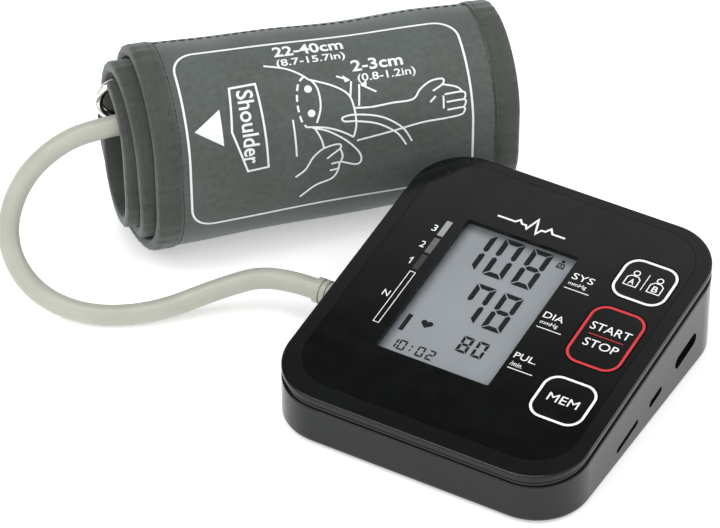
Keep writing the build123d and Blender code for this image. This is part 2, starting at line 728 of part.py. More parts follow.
# ---------------------------------------------------------------------------------------------
# All pieces by name
# ---------------------------------------------------------------------------------------------
def make_all():
    pieces = {
        "top_case": make_top_case(),
        "front_panel": make_front_panel(),
        "display_window": make_display_window(),
        "lcd_glass": make_lcd_glass(),
        "lcd_holder": make_lcd_holder(),
        "contact_strips": make_contact_strips(),
        "main_board": make_main_board(),
        "tact_switches": make_tact_switches(),
        "board_chips": make_board_chips(),
        "buzzer": make_buzzer(),
        "pressure_sensor": make_pressure_sensor(),
        "pump_motor": make_pump_motor(),
        "pump_head": make_pump_head(),
        "exhaust_valve": make_exhaust_valve(),
        "air_manifold": make_air_manifold(),
        "air_tubes": make_air_tubes(),
        "hose_socket": make_hose_socket(),
        "lower_housing": make_lower_housing(),
        "battery_cells": make_battery_cells(),
        "battery_springs": make_battery_springs(),
        "battery_door": make_battery_door(),
        "power_socket": make_power_socket(),
        "rubber_feet": make_rubber_feet(),
        "case_screws": make_case_screws(),
        "cuff_cover": make_cuff_cover(),
        "cuff_liner": make_cuff_liner(),
        "air_bladder": make_air_bladder(),
        "bladder_nipple": make_bladder_nipple(),
        "left_binding": make_binding("left"),
        "right_binding": make_binding("right"),
        "hook_patch": make_hook_patch(),
        "loop_patch": make_loop_patch(),
        "ring_sleeve": make_ring_sleeve(),
        "pull_ring": make_pull_ring(),
        "air_hose": make_air_hose(),
        "air_plug": make_air_plug(),
        "plug_collar": make_plug_collar(),
    }
    for name in KEYS:
        pieces[name] = make_key(name)
    return pieces


ON_THE_HOSE = ("air_hose", "air_plug", "plug_collar")


def footprint_middle(pieces):
    """Middle of the footprint of everything but the hose and its plug."""
    solids = [solid for name, piece in pieces.items() if name not in ON_THE_HOSE
              for solid in (piece if isinstance(piece, list) else [piece])]
    box = Compound(children=[Compound(solid.solids()) for solid in solids]).bounding_box()
    return Vector((box.min.X + box.max.X) / 2, (box.min.Y + box.max.Y) / 2, 0)


os.makedirs("parts", exist_ok=True)
parts = make_all()
middle = footprint_middle(parts)
print("unit centre at", (round(-middle.X, 3), round(-middle.Y, 3)))
for name, piece in parts.items():
    solids = [solid for item in (piece if isinstance(piece, list) else [piece]) for solid in item.solids()]
    moved = [Pos(-middle.X, -middle.Y, 0) * solid for solid in solids]
    export_step(Compound(moved) if len(moved) > 1 else moved[0], f"parts/{name}.step")
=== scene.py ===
"""Upper-arm blood pressure monitor: finishes, artwork, rolled cuff, air hose and studio."""

import logging
import math
from collections.abc import Callable
from dataclasses import dataclass, field
from enum import Enum

import bmesh
import bpy
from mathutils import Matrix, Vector


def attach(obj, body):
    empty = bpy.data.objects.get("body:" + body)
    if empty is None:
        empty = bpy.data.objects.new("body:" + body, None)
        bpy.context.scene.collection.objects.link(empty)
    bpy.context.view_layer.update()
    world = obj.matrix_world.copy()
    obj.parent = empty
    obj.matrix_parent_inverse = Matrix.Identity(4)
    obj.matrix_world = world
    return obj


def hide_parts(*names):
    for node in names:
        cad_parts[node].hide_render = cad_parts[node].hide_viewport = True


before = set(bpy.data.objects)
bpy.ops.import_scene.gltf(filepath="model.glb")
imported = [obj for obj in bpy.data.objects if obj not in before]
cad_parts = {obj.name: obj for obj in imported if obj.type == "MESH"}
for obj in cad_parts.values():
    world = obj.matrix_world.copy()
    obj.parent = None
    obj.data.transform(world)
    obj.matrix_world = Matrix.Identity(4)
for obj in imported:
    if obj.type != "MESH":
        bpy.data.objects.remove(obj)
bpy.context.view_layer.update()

log = logging.getLogger("cuff_monitor")

MM = 0.001
UNIT = Vector((60.869, -30.618, 0.0))   # foot of the monitor's centre, in millimetres

Flat = tuple[float, float]
Place = Callable[[float, float, float], Vector]


# ---------------------------------------------------------------------------
# Finishes
# ---------------------------------------------------------------------------
class Tint(Enum):
    """Base colours of the moulded, woven and printed surfaces, linear RGB."""

    PANEL = (0.0045, 0.0050, 0.0048)
    CASE = (0.005, 0.0058, 0.0054)
    HOUSING = (0.0075, 0.0098, 0.0084)
    # Painted shade: colour of the rim's darkened sides.
    SHADED_SIDE = (0.004, 0.004, 0.004)
    NYLON = (0.077, 0.089, 0.081)
    TAPE = (0.050, 0.056, 0.048)
    THREAD = (0.070, 0.063, 0.052)
    # Dark thread of the cross seams, also used for the painted shadow line beside the bindings.
    SEAM_AND_SHADOW_LINE = (0.020, 0.023, 0.022)
    HOSE = (0.395, 0.395, 0.343)
    WHITE = (0.86, 0.88, 0.88)
    RED = (0.62, 0.035, 0.045)
    LCD = (0.335, 0.360, 0.384)
    SEGMENT = (0.002, 0.002, 0.003)
    INNER = (0.10, 0.10, 0.10)


class Shader:
    """A Principled material with small helpers for its procedural detail."""

    def __init__(self, name: str) -> None:
        """Start an empty material.

        Args:
            name: the material's name, for this object's own surface.
        """
        self.material = bpy.data.materials.new(name)
        self.material.use_nodes = True
        self.tree = self.material.node_tree
        self.tree.nodes.clear()
        self.surface = self.tree.nodes.new("ShaderNodeBsdfPrincipled")
        output = self.tree.nodes.new("ShaderNodeOutputMaterial")
        self.tree.links.new(self.surface.outputs["BSDF"], output.inputs["Surface"])

    def put(self, **values: float | tuple[float, ...]) -> "Shader":
        """Set the shader's own sockets.

        Args:
            values: socket names with underscores for spaces, and their values.

        Returns:
            This shader, so that calls can follow each other.
        """
        for key, value in values.items():
            socket = self.surface.inputs[key.replace("_", " ")]
            if isinstance(value, tuple) and len(value) == 3:
                value = (*value, 1.0)
            socket.default_value = value
        return self

    def node(self, kind: str, **values: object) -> bpy.types.Node:
        """Add a node and set its named inputs or properties.

        Args:
            kind: the node's type.
            values: inputs by name with underscores for spaces, or the node's own properties.

        Returns:
            The new node.
        """
        made = self.tree.nodes.new(kind)
        for key, value in values.items():
            label = key.replace("_", " ")
            if label in made.inputs:
                made.inputs[label].default_value = value
            else:
                setattr(made, key, value)
        return made

    def link(self, out: bpy.types.NodeSocket, into: bpy.types.NodeSocket) -> None:
        """Join two sockets."""
        self.tree.links.new(out, into)

    def coordinates(self, output: str = "Object") -> bpy.types.NodeSocket:
        """The surface's own coordinates."""
        return self.node("ShaderNodeTexCoord").outputs[output]

    def noise(self, scale: float, detail: float = 3.0, rough: float = 0.5) -> bpy.types.NodeSocket:
        """Noise over the object's coordinates.

        Args:
            scale: features to the metre.
            detail: octaves.
            rough: how strong the fine octaves are.

        Returns:
            The noise value, about 0.3 to 0.7.
        """
        made = self.node("ShaderNodeTexNoise", Scale=scale, Detail=detail, Roughness=rough)
        self.link(self.coordinates(), made.inputs["Vector"])
        return made.outputs[0]

    def shade(self, value: bpy.types.NodeSocket, low: tuple, high: tuple,
              span: Flat = (0.35, 0.65)) -> bpy.types.NodeSocket:
        """Blend two colours by a value.

        Args:
            value: what drives the blend.
            low: colour at the start of the span.
            high: colour at its end.
            span: the driving values that the blend runs between.

        Returns:
            The blended colour.
        """
        ramp = self.node("ShaderNodeValToRGB")
        ramp.color_ramp.elements[0].position, ramp.color_ramp.elements[1].position = span
        ramp.color_ramp.elements[0].color = (*low, 1.0)
        ramp.color_ramp.elements[1].color = (*high, 1.0)
        self.link(value, ramp.inputs[0])
        return ramp.outputs[0]

    def vary(self, value: bpy.types.NodeSocket, low: float, high: float,
             into: str = "Roughness") -> "Shader":
        """Drive one socket between two values.

        Args:
            value: what drives it, about 0.3 to 0.7.
            low: the socket's value at 0.3.
            high: its value at 0.7.
            into: the socket's name.

        Returns:
            This shader.
        """
        span = self.node("ShaderNodeMapRange")
        for index, amount in ((1, 0.3), (2, 0.7), (3, low), (4, high)):
            span.inputs[index].default_value = amount
        self.link(value, span.inputs[0])
        self.link(span.outputs[0], self.surface.inputs[into])
        return self

    def relief(self, height: bpy.types.NodeSocket, strength: float, depth: float) -> "Shader":
        """Bump from a height value.

        Args:
            height: the height, 0 to 1.
            strength: how much of the bump shows.
            depth: the relief's real depth in metres.

        Returns:
            This shader.
        """
        bump = self.node("ShaderNodeBump", Strength=strength, Distance=depth)
        self.link(height, bump.inputs["Height"])
        self.link(bump.outputs[0], self.surface.inputs["Normal"])
        return self

    def colour(self, out: bpy.types.NodeSocket) -> "Shader":
        """Give the base its colour from a socket."""
        self.link(out, self.surface.inputs["Base Color"])
        return self


def scaled(colour: tuple[float, float, float], by: float) -> tuple[float, float, float]:
    """A lighter or darker version of a colour."""
    return tuple(channel * by for channel in colour)


@dataclass(frozen=True)
class Moulded:
    """Injection-moulded or cast surface: mottled colour, uneven gloss and a fine skin."""

    name: str
    tint: tuple[float, float, float]
    rough: Flat = (0.3, 0.4)
    grain: float = 900.0
    depth: float = 0.00002
    strength: float = 0.25
    spread: float = 0.18
    metallic: float = 0.0
    coat: float = 0.0
    specular: float = 0.5

    def make(self) -> bpy.types.Material:
        """Build the material.

        Returns:
            The finished material.
        """
        s = Shader(self.name).put(Metallic=self.metallic, Coat_Weight=self.coat,
                                  Coat_Roughness=0.04, Specular_IOR_Level=self.specular)
        broad = s.noise(60.0, 4.0)
        s.colour(s.shade(broad, scaled(self.tint, 1 - self.spread), scaled(self.tint, 1 + self.spread)))
        s.vary(s.noise(140.0, 5.0, 0.6), *self.rough)
        return s.relief(s.noise(self.grain, 2.0), self.strength, self.depth).material


@dataclass(frozen=True)
class SatinTopShadedSides:
    """Moulding with a satin top and glossier sides darkened with painted shade for the shadowed recess below the
    rim.
    """

    name: str
    top: tuple[float, float, float]
    # Painted shade colour given to the sides.
    side: tuple[float, float, float]
    rough: Flat = (0.11, 0.17)

    def make(self) -> bpy.types.Material:
        """Build the material.

        Returns:
            The finished material.
        """
        s = Shader(self.name).put(Specular_IOR_Level=0.34)
        # Painted shade: faces turned to the side go from the mottled satin colour to the dark side colour, standing
        # in for the shadowed recess below the rim; the same mask makes them glossier.
        axes, top_vs_shaded_side = s.node("ShaderNodeSeparateXYZ"), s.node("ShaderNodeMapRange")
        s.link(s.coordinates("Normal"), axes.inputs[0])
        for index, amount in ((1, 0.55), (2, 0.9), (3, 0.0), (4, 1.0)):
            top_vs_shaded_side.inputs[index].default_value = amount
        s.link(axes.outputs[2], top_vs_shaded_side.inputs[0])
        mottled = s.shade(s.noise(60.0, 4.0), scaled(self.top, 0.85), scaled(self.top, 1.15))
        blend = s.node("ShaderNodeMix", data_type="RGBA")
        s.link(top_vs_shaded_side.outputs[0], blend.inputs[0])
        blend.inputs[6].default_value = (*self.side, 1.0)
        s.link(mottled, blend.inputs[7])
        s.colour(blend.outputs[2])
        gloss = s.node("ShaderNodeMapRange")
        for index, amount in ((1, 0.0), (2, 1.0), (3, 0.10), (4, sum(self.rough) / 2)):
            gloss.inputs[index].default_value = amount
        s.link(top_vs_shaded_side.outputs[0], gloss.inputs[0])
        s.link(gloss.outputs[0], s.surface.inputs["Roughness"])
        return s.relief(s.noise(1500.0, 2.0), 0.2, 0.00001).material


@dataclass(frozen=True)
class Woven:
    """Coated nylon weave that follows the cloth's own length and width."""

    name: str
    tint: tuple[float, float, float]
    pitch: float = 0.00052
    contrast: float = 0.30
    depth: float = 0.00006

    def make(self) -> bpy.types.Material:
        """Build the material: two crossing yarn sets, slubs, sheen and soft soiling.

        Returns:
            The finished material.
        """
        s = Shader(self.name).put(Sheen_Weight=0.22, Sheen_Roughness=0.45,
                                  Sheen_Tint=(0.9, 1.0, 0.97), Specular_IOR_Level=0.35)
        uv = s.coordinates("UV")
        yarns = []
        for turn in (math.radians(38), math.radians(-52)):
            mapping = s.node("ShaderNodeMapping")
            mapping.inputs["Rotation"].default_value = (0, 0, turn)
            s.link(uv, mapping.inputs["Vector"])
            wave = s.node("ShaderNodeTexWave", Scale=math.pi / 10 / self.pitch, Distortion=0.6,
                          Detail=1.0, Detail_Scale=2.0)
            s.link(mapping.outputs[0], wave.inputs["Vector"])
            yarns.append(wave.outputs["Fac"])
        weave = s.node("ShaderNodeMath", operation="MULTIPLY")
        s.link(yarns[0], weave.inputs[0])
        s.link(yarns[1], weave.inputs[1])
        slub = s.node("ShaderNodeTexNoise", Scale=420.0, Detail=4.0, Roughness=0.65)
        s.link(uv, slub.inputs["Vector"])
        mixed = s.node("ShaderNodeMath", operation="MULTIPLY_ADD")
        mixed.inputs[1].default_value = 0.55
        s.link(weave.outputs[0], mixed.inputs[0])
        s.link(slub.outputs[0], mixed.inputs[2])
        yarn_colour = s.shade(mixed.outputs[0], scaled(self.tint, 1 - self.contrast),
                              scaled(self.tint, 1 + self.contrast), (0.38, 0.95))
        soil = s.shade(s.noise(26.0, 5.0, 0.6), (0.84, 0.84, 0.83), (1.08, 1.09, 1.1))
        blend = s.node("ShaderNodeMix", data_type="RGBA", blend_type="MULTIPLY")
        blend.inputs[0].default_value = 1.0
        s.link(yarn_colour, blend.inputs[6])
        s.link(soil, blend.inputs[7])
        s.colour(blend.outputs[2])
        s.vary(slub.outputs[0], 0.5, 0.72)
        return s.relief(mixed.outputs[0], 0.5, self.depth).material


@dataclass(frozen=True)
class Ink:
    """Screen-printed ink with slightly uneven cover."""

    name: str
    tint: tuple[float, float, float]
    rough: Flat = (0.4, 0.55)

    def make(self) -> bpy.types.Material:
        """Build the material.

        Returns:
            The finished material.
        """
        s = Shader(self.name).put(Specular_IOR_Level=0.3)
        cover = s.noise(700.0, 4.0, 0.7)
        s.colour(s.shade(cover, scaled(self.tint, 0.86), self.tint, (0.3, 0.5)))
        s.vary(cover, *self.rough)
        return s.relief(cover, 0.15, 0.00001).material


@dataclass(frozen=True)
class Glazing:
    """Clear window over the display."""

    name: str
    cover: float = 0.07

    def make(self) -> bpy.types.Material:
        """Build the material.

        Returns:
            The finished material.
        """
        s = Shader(self.name).put(Base_Color=(0.02, 0.02, 0.02), Alpha=self.cover, IOR=1.49)
        return s.vary(s.noise(90.0, 4.0), 0.03, 0.09).material


@dataclass(frozen=True)
class Liquid:
    """Display glass: pale grey-blue cell, with painted shade darkening it towards its left and upper edges, where
    the window's recess shades it.
    """

    name: str
    tint: tuple[float, float, float]
    # Where the painted recess shade fades out, across and up the cell, in metres.
    left: Flat = (0.0293, 0.0335)
    upper: Flat = (-0.0010, 0.0036)

    def make(self) -> bpy.types.Material:
        """Build the material.

        Returns:
            The finished material.
        """
        s = Shader(self.name).put(Specular_IOR_Level=0.25)
        cloud = s.shade(s.noise(34.0, 3.0), scaled(self.tint, 0.95), scaled(self.tint, 1.05))
        axes = s.node("ShaderNodeSeparateXYZ")
        s.link(s.coordinates(), axes.inputs[0])
        # Painted shade: the cell darkens towards its left and upper edges, standing in for the shadow that the
        # window's recess casts on it.
        edges = []
        for axis, (dark, light) in ((0, self.left), (1, (self.upper[1], self.upper[0]))):
            recess_shade_ramp = s.node("ShaderNodeMapRange", interpolation_type="SMOOTHSTEP")
            for index, amount in ((1, dark), (2, light), (3, 0.5), (4, 1.0)):
                recess_shade_ramp.inputs[index].default_value = amount
            s.link(axes.outputs[axis], recess_shade_ramp.inputs[0])
            edges.append(recess_shade_ramp.outputs[0])
        recess_shade_mask = s.node("ShaderNodeMath", operation="MULTIPLY")
        s.link(edges[0], recess_shade_mask.inputs[0])
        s.link(edges[1], recess_shade_mask.inputs[1])
        recess_shaded_colour = s.node("ShaderNodeVectorMath", operation="SCALE")
        s.link(cloud, recess_shaded_colour.inputs[0])
        s.link(recess_shade_mask.outputs[0], recess_shaded_colour.inputs["Scale"])
        s.colour(recess_shaded_colour.outputs[0])
        s.vary(s.noise(500.0, 2.0), 0.35, 0.5)
        return s.relief(s.noise(5200.0, 1.0), 0.08, 0.00001).material


class Wardrobe:
    """Every finish of the object, made once and kept by name."""

    def __init__(self) -> None:
        """Build all the materials."""
        T = Tint
        finishes = (
            Moulded("gloss_panel", T.PANEL.value, (0.05, 0.10), 420.0, 0.000004, 0.12, specular=0.32),
            SatinTopShadedSides("satin_case", T.CASE.value, T.SHADED_SIDE.value),
            Moulded("housing_shell", T.HOUSING.value, (0.12, 0.18), 1300.0, 0.00001, 0.2, specular=0.31),
            Moulded("key_cap", T.PANEL.value, (0.06, 0.12), 420.0, 0.000004, 0.12, specular=0.32),
            Moulded("inner_moulding", T.INNER.value, (0.45, 0.6)),
            Moulded("dark_rubber", (0.016, 0.016, 0.017), (0.6, 0.8), 1100.0, 0.00004, 0.5),
            Moulded("silicone", (0.46, 0.46, 0.42), (0.35, 0.5), 500.0, 0.00002, 0.2),
            Moulded("hose_vinyl", T.HOSE.value, (0.32, 0.44), 260.0, 0.00003, 0.25, 0.06, coat=0.15),
            Moulded("solder_mask", (0.012, 0.10, 0.035), (0.3, 0.42), 700.0),
            Moulded("chip_epoxy", (0.012, 0.012, 0.013), (0.45, 0.6), 2400.0),
            Moulded("motor_can", (0.56, 0.56, 0.55), (0.2, 0.34), 300.0, metallic=1.0),
            Moulded("spring_nickel", (0.66, 0.64, 0.60), (0.16, 0.28), 600.0, metallic=1.0),
            Moulded("ring_chrome", (0.80, 0.79, 0.77), (0.07, 0.14), 500.0, 0.000004, 0.1, 0.05, 1.0),
            Moulded("cell_wrap", (0.05, 0.12, 0.30), (0.22, 0.35), 240.0),
            Moulded("bladder_rubber", (0.09, 0.09, 0.10), (0.5, 0.65), 800.0),
            Moulded("hook_tape", (0.02, 0.021, 0.022), (0.7, 0.9), 2600.0, 0.0002, 1.0, 0.4),
            Moulded("loop_tape", (0.07, 0.076, 0.075), (0.8, 0.95), 1900.0, 0.0002, 1.0, 0.35),
            Moulded("thread", T.THREAD.value, (0.55, 0.7), 4000.0, 0.00004, 0.6, 0.3),
            Moulded("seam_thread_and_shadow_line", T.SEAM_AND_SHADOW_LINE.value, (0.6, 0.75), 4000.0, 0.00004, 0.6, 0.3),
            Woven("nylon_cover", T.NYLON.value),
            Woven("nylon_lining", scaled(T.NYLON.value, 0.28), 0.00045, 0.22),
            Woven("binding_tape", T.TAPE.value, 0.0007, 0.34, 0.00009),
            Ink("white_ink", T.WHITE.value),
            Ink("cuff_ink", scaled(T.WHITE.value, 0.93), (0.5, 0.65)),
            Ink("red_ink", T.RED.value),
            Ink("pale_ink", (0.30, 0.31, 0.31)),
            Ink("mid_ink", (0.115, 0.12, 0.12)),
            Ink("dim_ink", (0.035, 0.038, 0.038)),
            Ink("segment_ink", T.SEGMENT.value, (0.5, 0.6)),
            Liquid("display_cell", T.LCD.value),
            Glazing("clear_window"),
        )
        self.kept = {finish.name: finish.make() for finish in finishes}

    def __getitem__(self, name: str) -> bpy.types.Material:
        """The material of that name."""
        return self.kept[name]

    def dress(self, piece: bpy.types.Object, name: str) -> None:
        """Give every slot of a piece one finish.

        Args:
            piece: a mesh or curve object.
            name: the finish.
        """
        slots = piece.data.materials
        if not slots:
            slots.append(self.kept[name])
        for index in range(len(slots)):
            slots[index] = self.kept[name]


# ---------------------------------------------------------------------------
# Meshes
# ---------------------------------------------------------------------------
def new_piece(name: str, points: list[Vector], faces: list[tuple[int, ...]], material: bpy.types.Material,
              uvs: list[Flat] | None = None, smooth: bool = True) -> bpy.types.Object:
    """A mesh piece with outward normals.

    Args:
        name: the piece's name.
        points: vertices in metres.
        faces: vertex indices.
        material: its finish.
        uvs: one pair per vertex, for cloth.
        smooth: whether its faces are shaded smooth below 40 degrees.

    Returns:
        The linked object.
    """
    mesh = bpy.data.meshes.new(name)
    mesh.from_pydata([tuple(p) for p in points], [], faces)
    if uvs:
        layer = mesh.uv_layers.new(name="cloth")
        for loop in mesh.loops:
            layer.data[loop.index].uv = uvs[loop.vertex_index]
    work = bmesh.new()
    work.from_mesh(mesh)
    bmesh.ops.recalc_face_normals(work, faces=work.faces)
    work.to_mesh(mesh)
    work.free()
    mesh.materials.append(material)
    if smooth:
        mesh.shade_smooth()
        mesh.set_sharp_from_angle(angle=math.radians(40))
    piece = bpy.data.objects.new(name, mesh)
    bpy.context.scene.collection.objects.link(piece)
    return piece


def rounded_path(x0: float, y0: float, x1: float, y1: float, radius: float, steps: int = 8) -> list[Flat]:
    """Outline of a rounded rectangle, counter-clockwise.

    Args:
        x0: its left.
        y0: its bottom.
        x1: its right.
        y1: its top.
        radius: of its corners.
        steps: pieces in each corner.

    Returns:
        The outline's points.
    """
    path = []
    for cx, cy, start in ((x1 - radius, y1 - radius, 0), (x0 + radius, y1 - radius, 90),
                          (x0 + radius, y0 + radius, 180), (x1 - radius, y0 + radius, 270)):
        for step in range(steps + 1):
            angle = math.radians(start + 90 * step / steps)
            path.append((cx + radius * math.cos(angle), cy + radius * math.sin(angle)))
    return path


def flowing(path: list[Flat], steps: int = 6) -> list[Flat]:
    """A smooth line through a few points.

    Args:
        path: the points it passes.
        steps: pieces between two points.

    Returns:
        The points of the smooth line.
    """
    ends = [path[0], *path, path[-1]]
    line = []
    for a, b, c, d in zip(ends, ends[1:], ends[2:], ends[3:]):
        for step in range(steps):
            t = step / steps
            line.append(tuple(
                0.5 * (2 * q + (r - p) * t + (2 * p - 5 * q + 4 * r - s) * t * t
                       + (3 * q - p - 3 * r + s) * t ** 3)
                for p, q, r, s in zip(a, b, c, d)))
    return [*line, path[-1]]


class Artwork:
    """Flat shapes in two coordinates, laid on a surface later as one thin film of ink."""

    def __init__(self) -> None:
        """Start with nothing drawn."""
        self.points: list[Flat] = []
        self.faces: list[tuple[int, ...]] = []

    def add(self, points: list[Flat], faces: list[tuple[int, ...]]) -> None:
        """Add a patch of faces.

        Args:
            points: corners in two coordinates.
            faces: indices into those corners.
        """
        start = len(self.points)
        self.points += points
        self.faces += [tuple(start + i for i in face) for face in faces]

    def polygon(self, outline: list[Flat]) -> None:
        """Add a convex or star-shaped outline, filled from its middle.

        Args:
            outline: its corners in order.
        """
        count = len(outline)
        middle = (sum(p[0] for p in outline) / count, sum(p[1] for p in outline) / count)
        self.add([middle, *outline], [(0, 1 + i, 1 + (i + 1) % count) for i in range(count)])

    def box(self, x0: float, y0: float, x1: float, y1: float) -> None:
        """Add a filled rectangle."""
        self.polygon([(x0, y0), (x1, y0), (x1, y1), (x0, y1)])

    def disc(self, x: float, y: float, radius: float) -> None:
        """Add a filled circle."""
        self.polygon([(x + radius * math.cos(a * math.pi / 10), y + radius * math.sin(a * math.pi / 10))
                      for a in range(20)])

    def line(self, path: list[Flat], width: float, closed: bool = False, step: float = 3.0) -> None:
        """Add a line of even width.

        Args:
            path: its middle.
            width: across the line.
            closed: whether it returns to its start.
            step: the longest piece, so that it can bend with the surface.
        """
        fine = []
        ends = [*path, path[0]] if closed else path
        for (ax, ay), (bx, by) in zip(ends, ends[1:]):
            pieces = max(1, math.ceil(math.hypot(bx - ax, by - ay) / step))
            fine += [(ax + (bx - ax) * i / pieces, ay + (by - ay) * i / pieces) for i in range(pieces)]
        if not closed:
            fine.append(path[-1])
        count, sides = len(fine), []
        for i, (x, y) in enumerate(fine):
            before = fine[i - 1] if closed or i else fine[i]
            after = fine[(i + 1) % count] if closed or i < count - 1 else fine[i]
            a = Vector((x - before[0], y - before[1]))
            b = Vector((after[0] - x, after[1] - y))
            a, b = (a.normalized() if a.length else b.normalized()), (b.normalized() if b.length else a.normalized())
            along = (a + b).normalized() if (a + b).length > 1e-6 else a
            reach = width / 2 / max(0.5, along.dot(a))
            sides += [(x - along.y * reach, y + along.x * reach), (x + along.y * reach, y - along.x * reach)]
        runs = range(count if closed else count - 1)
        self.add(sides, [(2 * i, 2 * i + 1, (2 * i + 3) % (2 * count), (2 * i + 2) % (2 * count)) for i in runs])

    def dashes(self, path: list[Flat], width: float, dash: float, gap: float) -> None:
        """Add a broken line along a path.

        Args:
            path: the points it follows.
            width: across the line.
            dash: a dash's length.
            gap: from one dash to the next.
        """
        piece, left = [path[0]], dash
        drawing = True
        for (ax, ay), (bx, by) in zip(path, path[1:]):
            length, done = math.hypot(bx - ax, by - ay), 0.0
            while length - done > left:
                done += left
                point = (ax + (bx - ax) * done / length, ay + (by - ay) * done / length)
                if drawing:
                    self.line([*piece, point], width)
                piece, drawing, left = [point], not drawing, gap if drawing else dash
            left -= length - done
            piece.append((bx, by))
        if drawing and len(piece) > 1:
            self.line(piece, width)

    def letters(self, text: str, x0: float, y0: float, x1: float, y1: float, bold: float = 0.0,
                down: bool = False) -> None:
        """Add plain lettering that fills a box.

        Args:
            text: what it says.
            x0: left of the box.
            y0: bottom of the box.
            x1: right of the box.
            y1: top of the box.
            bold: how much the strokes are thickened, in ems.
            down: whether it reads downwards, its tops to the right.
        """
        curve = bpy.data.curves.new("lettering", "FONT")
        curve.body, curve.offset, curve.resolution_u, curve.fill_mode = text, bold, 3, "FRONT"
        holder = bpy.data.objects.new("lettering", curve)
        bpy.context.scene.collection.objects.link(holder)
        held = holder.evaluated_get(bpy.context.evaluated_depsgraph_get())
        mesh = bpy.data.meshes.new_from_object(held)
        points = [(v.co.x, v.co.y) for v in mesh.vertices]
        faces = [tuple(p.vertices) for p in mesh.polygons]
        bpy.data.objects.remove(holder)
        bpy.data.meshes.remove(mesh)
        bpy.data.curves.remove(curve)
        low = (min(p[0] for p in points), min(p[1] for p in points))
        size = (max(p[0] for p in points) - low[0], max(p[1] for p in points) - low[1])
        placed = []
        for x, y in points:
            u, v = (x - low[0]) / size[0], (y - low[1]) / size[1]
            placed.append((x0 + v * (x1 - x0), y1 - u * (y1 - y0)) if down
                          else (x0 + u * (x1 - x0), y0 + v * (y1 - y0)))
        self.add(placed, faces)

    def cut(self, longest: float) -> tuple[list[Flat], list[tuple[int, ...]]]:
        """The drawing as triangles whose edges are no longer than a length.

        Args:
            longest: the longest edge, or 0 for a flat surface.

        Returns:
            Its points and its faces.
        """
        mesh = bpy.data.meshes.new("drawing")
        mesh.from_pydata([(x, y, 0.0) for x, y in self.points], [], self.faces)
        work = bmesh.new()
        work.from_mesh(mesh)
        bpy.data.meshes.remove(mesh)
        bmesh.ops.remove_doubles(work, verts=work.verts, dist=0.0005)
        bmesh.ops.dissolve_degenerate(work, edges=work.edges, dist=0.0005)
        bmesh.ops.triangulate(work, faces=work.faces)
        for _ in range(6 if longest else 0):
            long_edges = [e for e in work.edges if e.calc_length() > longest]
            if not long_edges:
                break
            bmesh.ops.subdivide_edges(work, edges=long_edges, cuts=1)
            bmesh.ops.triangulate(work, faces=work.faces)
        work.verts.index_update()
        points = [(v.co.x, v.co.y) for v in work.verts]
        faces = [tuple(v.index for v in f.verts) for f in work.faces]
        work.free()
        return points, faces

    def lay(self, name: str, place: Place, low: float, high: float,
            material: bpy.types.Material, longest: float = 0.0) -> bpy.types.Object:
        """Lay the drawing on a surface as a closed film.

        Args:
            name: the piece's name.
            place: gives the point over two coordinates at a height above the surface.
            low: height of the film's underside.
            high: height of its face.
            material: its ink.
            longest: the longest edge that may span the surface, or 0 where it is flat.

        Returns:
            The new piece.
        """
        spots, faces = self.cut(longest)
        uses: dict[frozenset[int], int] = {}
        for face in faces:
            for a, b in zip(face, [*face[1:], face[0]]):
                uses[frozenset((a, b))] = uses.get(frozenset((a, b)), 0) + 1
        count = len(spots)
        points = [place(x, y, height) for height in (high, low) for x, y in spots]
        solid = [*faces, *(tuple(count + i for i in reversed(face)) for face in faces)]
        for face in faces:
            for a, b in zip(face, [*face[1:], face[0]]):
                if uses[frozenset((a, b))] == 1:
                    solid.append((b, a, count + a, count + b))
        return new_piece(name, points, solid, material, smooth=False)


class Digits:
    """Seven-bar figures of a display."""

    BARS = {"0": "abcdef", "1": "bc", "2": "abged", "7": "abcf", "8": "abcdefg"}

    def __init__(self, art: Artwork) -> None:
        """Draw into one piece of artwork."""
        self.art = art

    def figure(self, sign: str, x: float, y: float, width: float, height: float, bar: float) -> None:
        """Draw one figure.

        Args:
            sign: the figure.
            x: its left.
            y: its bottom.
            width: over its bars.
            height: over its bars.
            bar: a bar's thickness.
        """
        gap, right, top, mid = 0.18 * bar, x + width, y + height, y + height / 2
        half, cut = bar / 2, bar + 0.18 * bar
        shapes = {
            "a": [(x + gap, top), (right - gap, top), (right - cut, top - bar), (x + cut, top - bar)],
            "d": [(x + gap, y), (x + cut, y + bar), (right - cut, y + bar), (right - gap, y)],
            "g": [(x + cut, mid + half), (right - cut, mid + half), (right - half - gap, mid),
                  (right - cut, mid - half), (x + cut, mid - half), (x + half + gap, mid)],
            "f": [(x, top - gap), (x + bar, top - cut), (x + bar, mid + half + gap), (x + half, mid + gap),
                  (x, mid + half)],
            "b": [(right, top - gap), (right, mid + half), (right - half, mid + gap),
                  (right - bar, mid + half + gap), (right - bar, top - cut)],
            "e": [(x, y + gap), (x, mid - half), (x + half, mid - gap), (x + bar, mid - half - gap),
                  (x + bar, y + cut)],
            "c": [(right, y + gap), (right - bar, y + cut), (right - bar, mid - half - gap),
                  (right - half, mid - gap), (right, mid - half)],
        }
        for letter in self.BARS[sign]:
            self.art.polygon(shapes[letter])


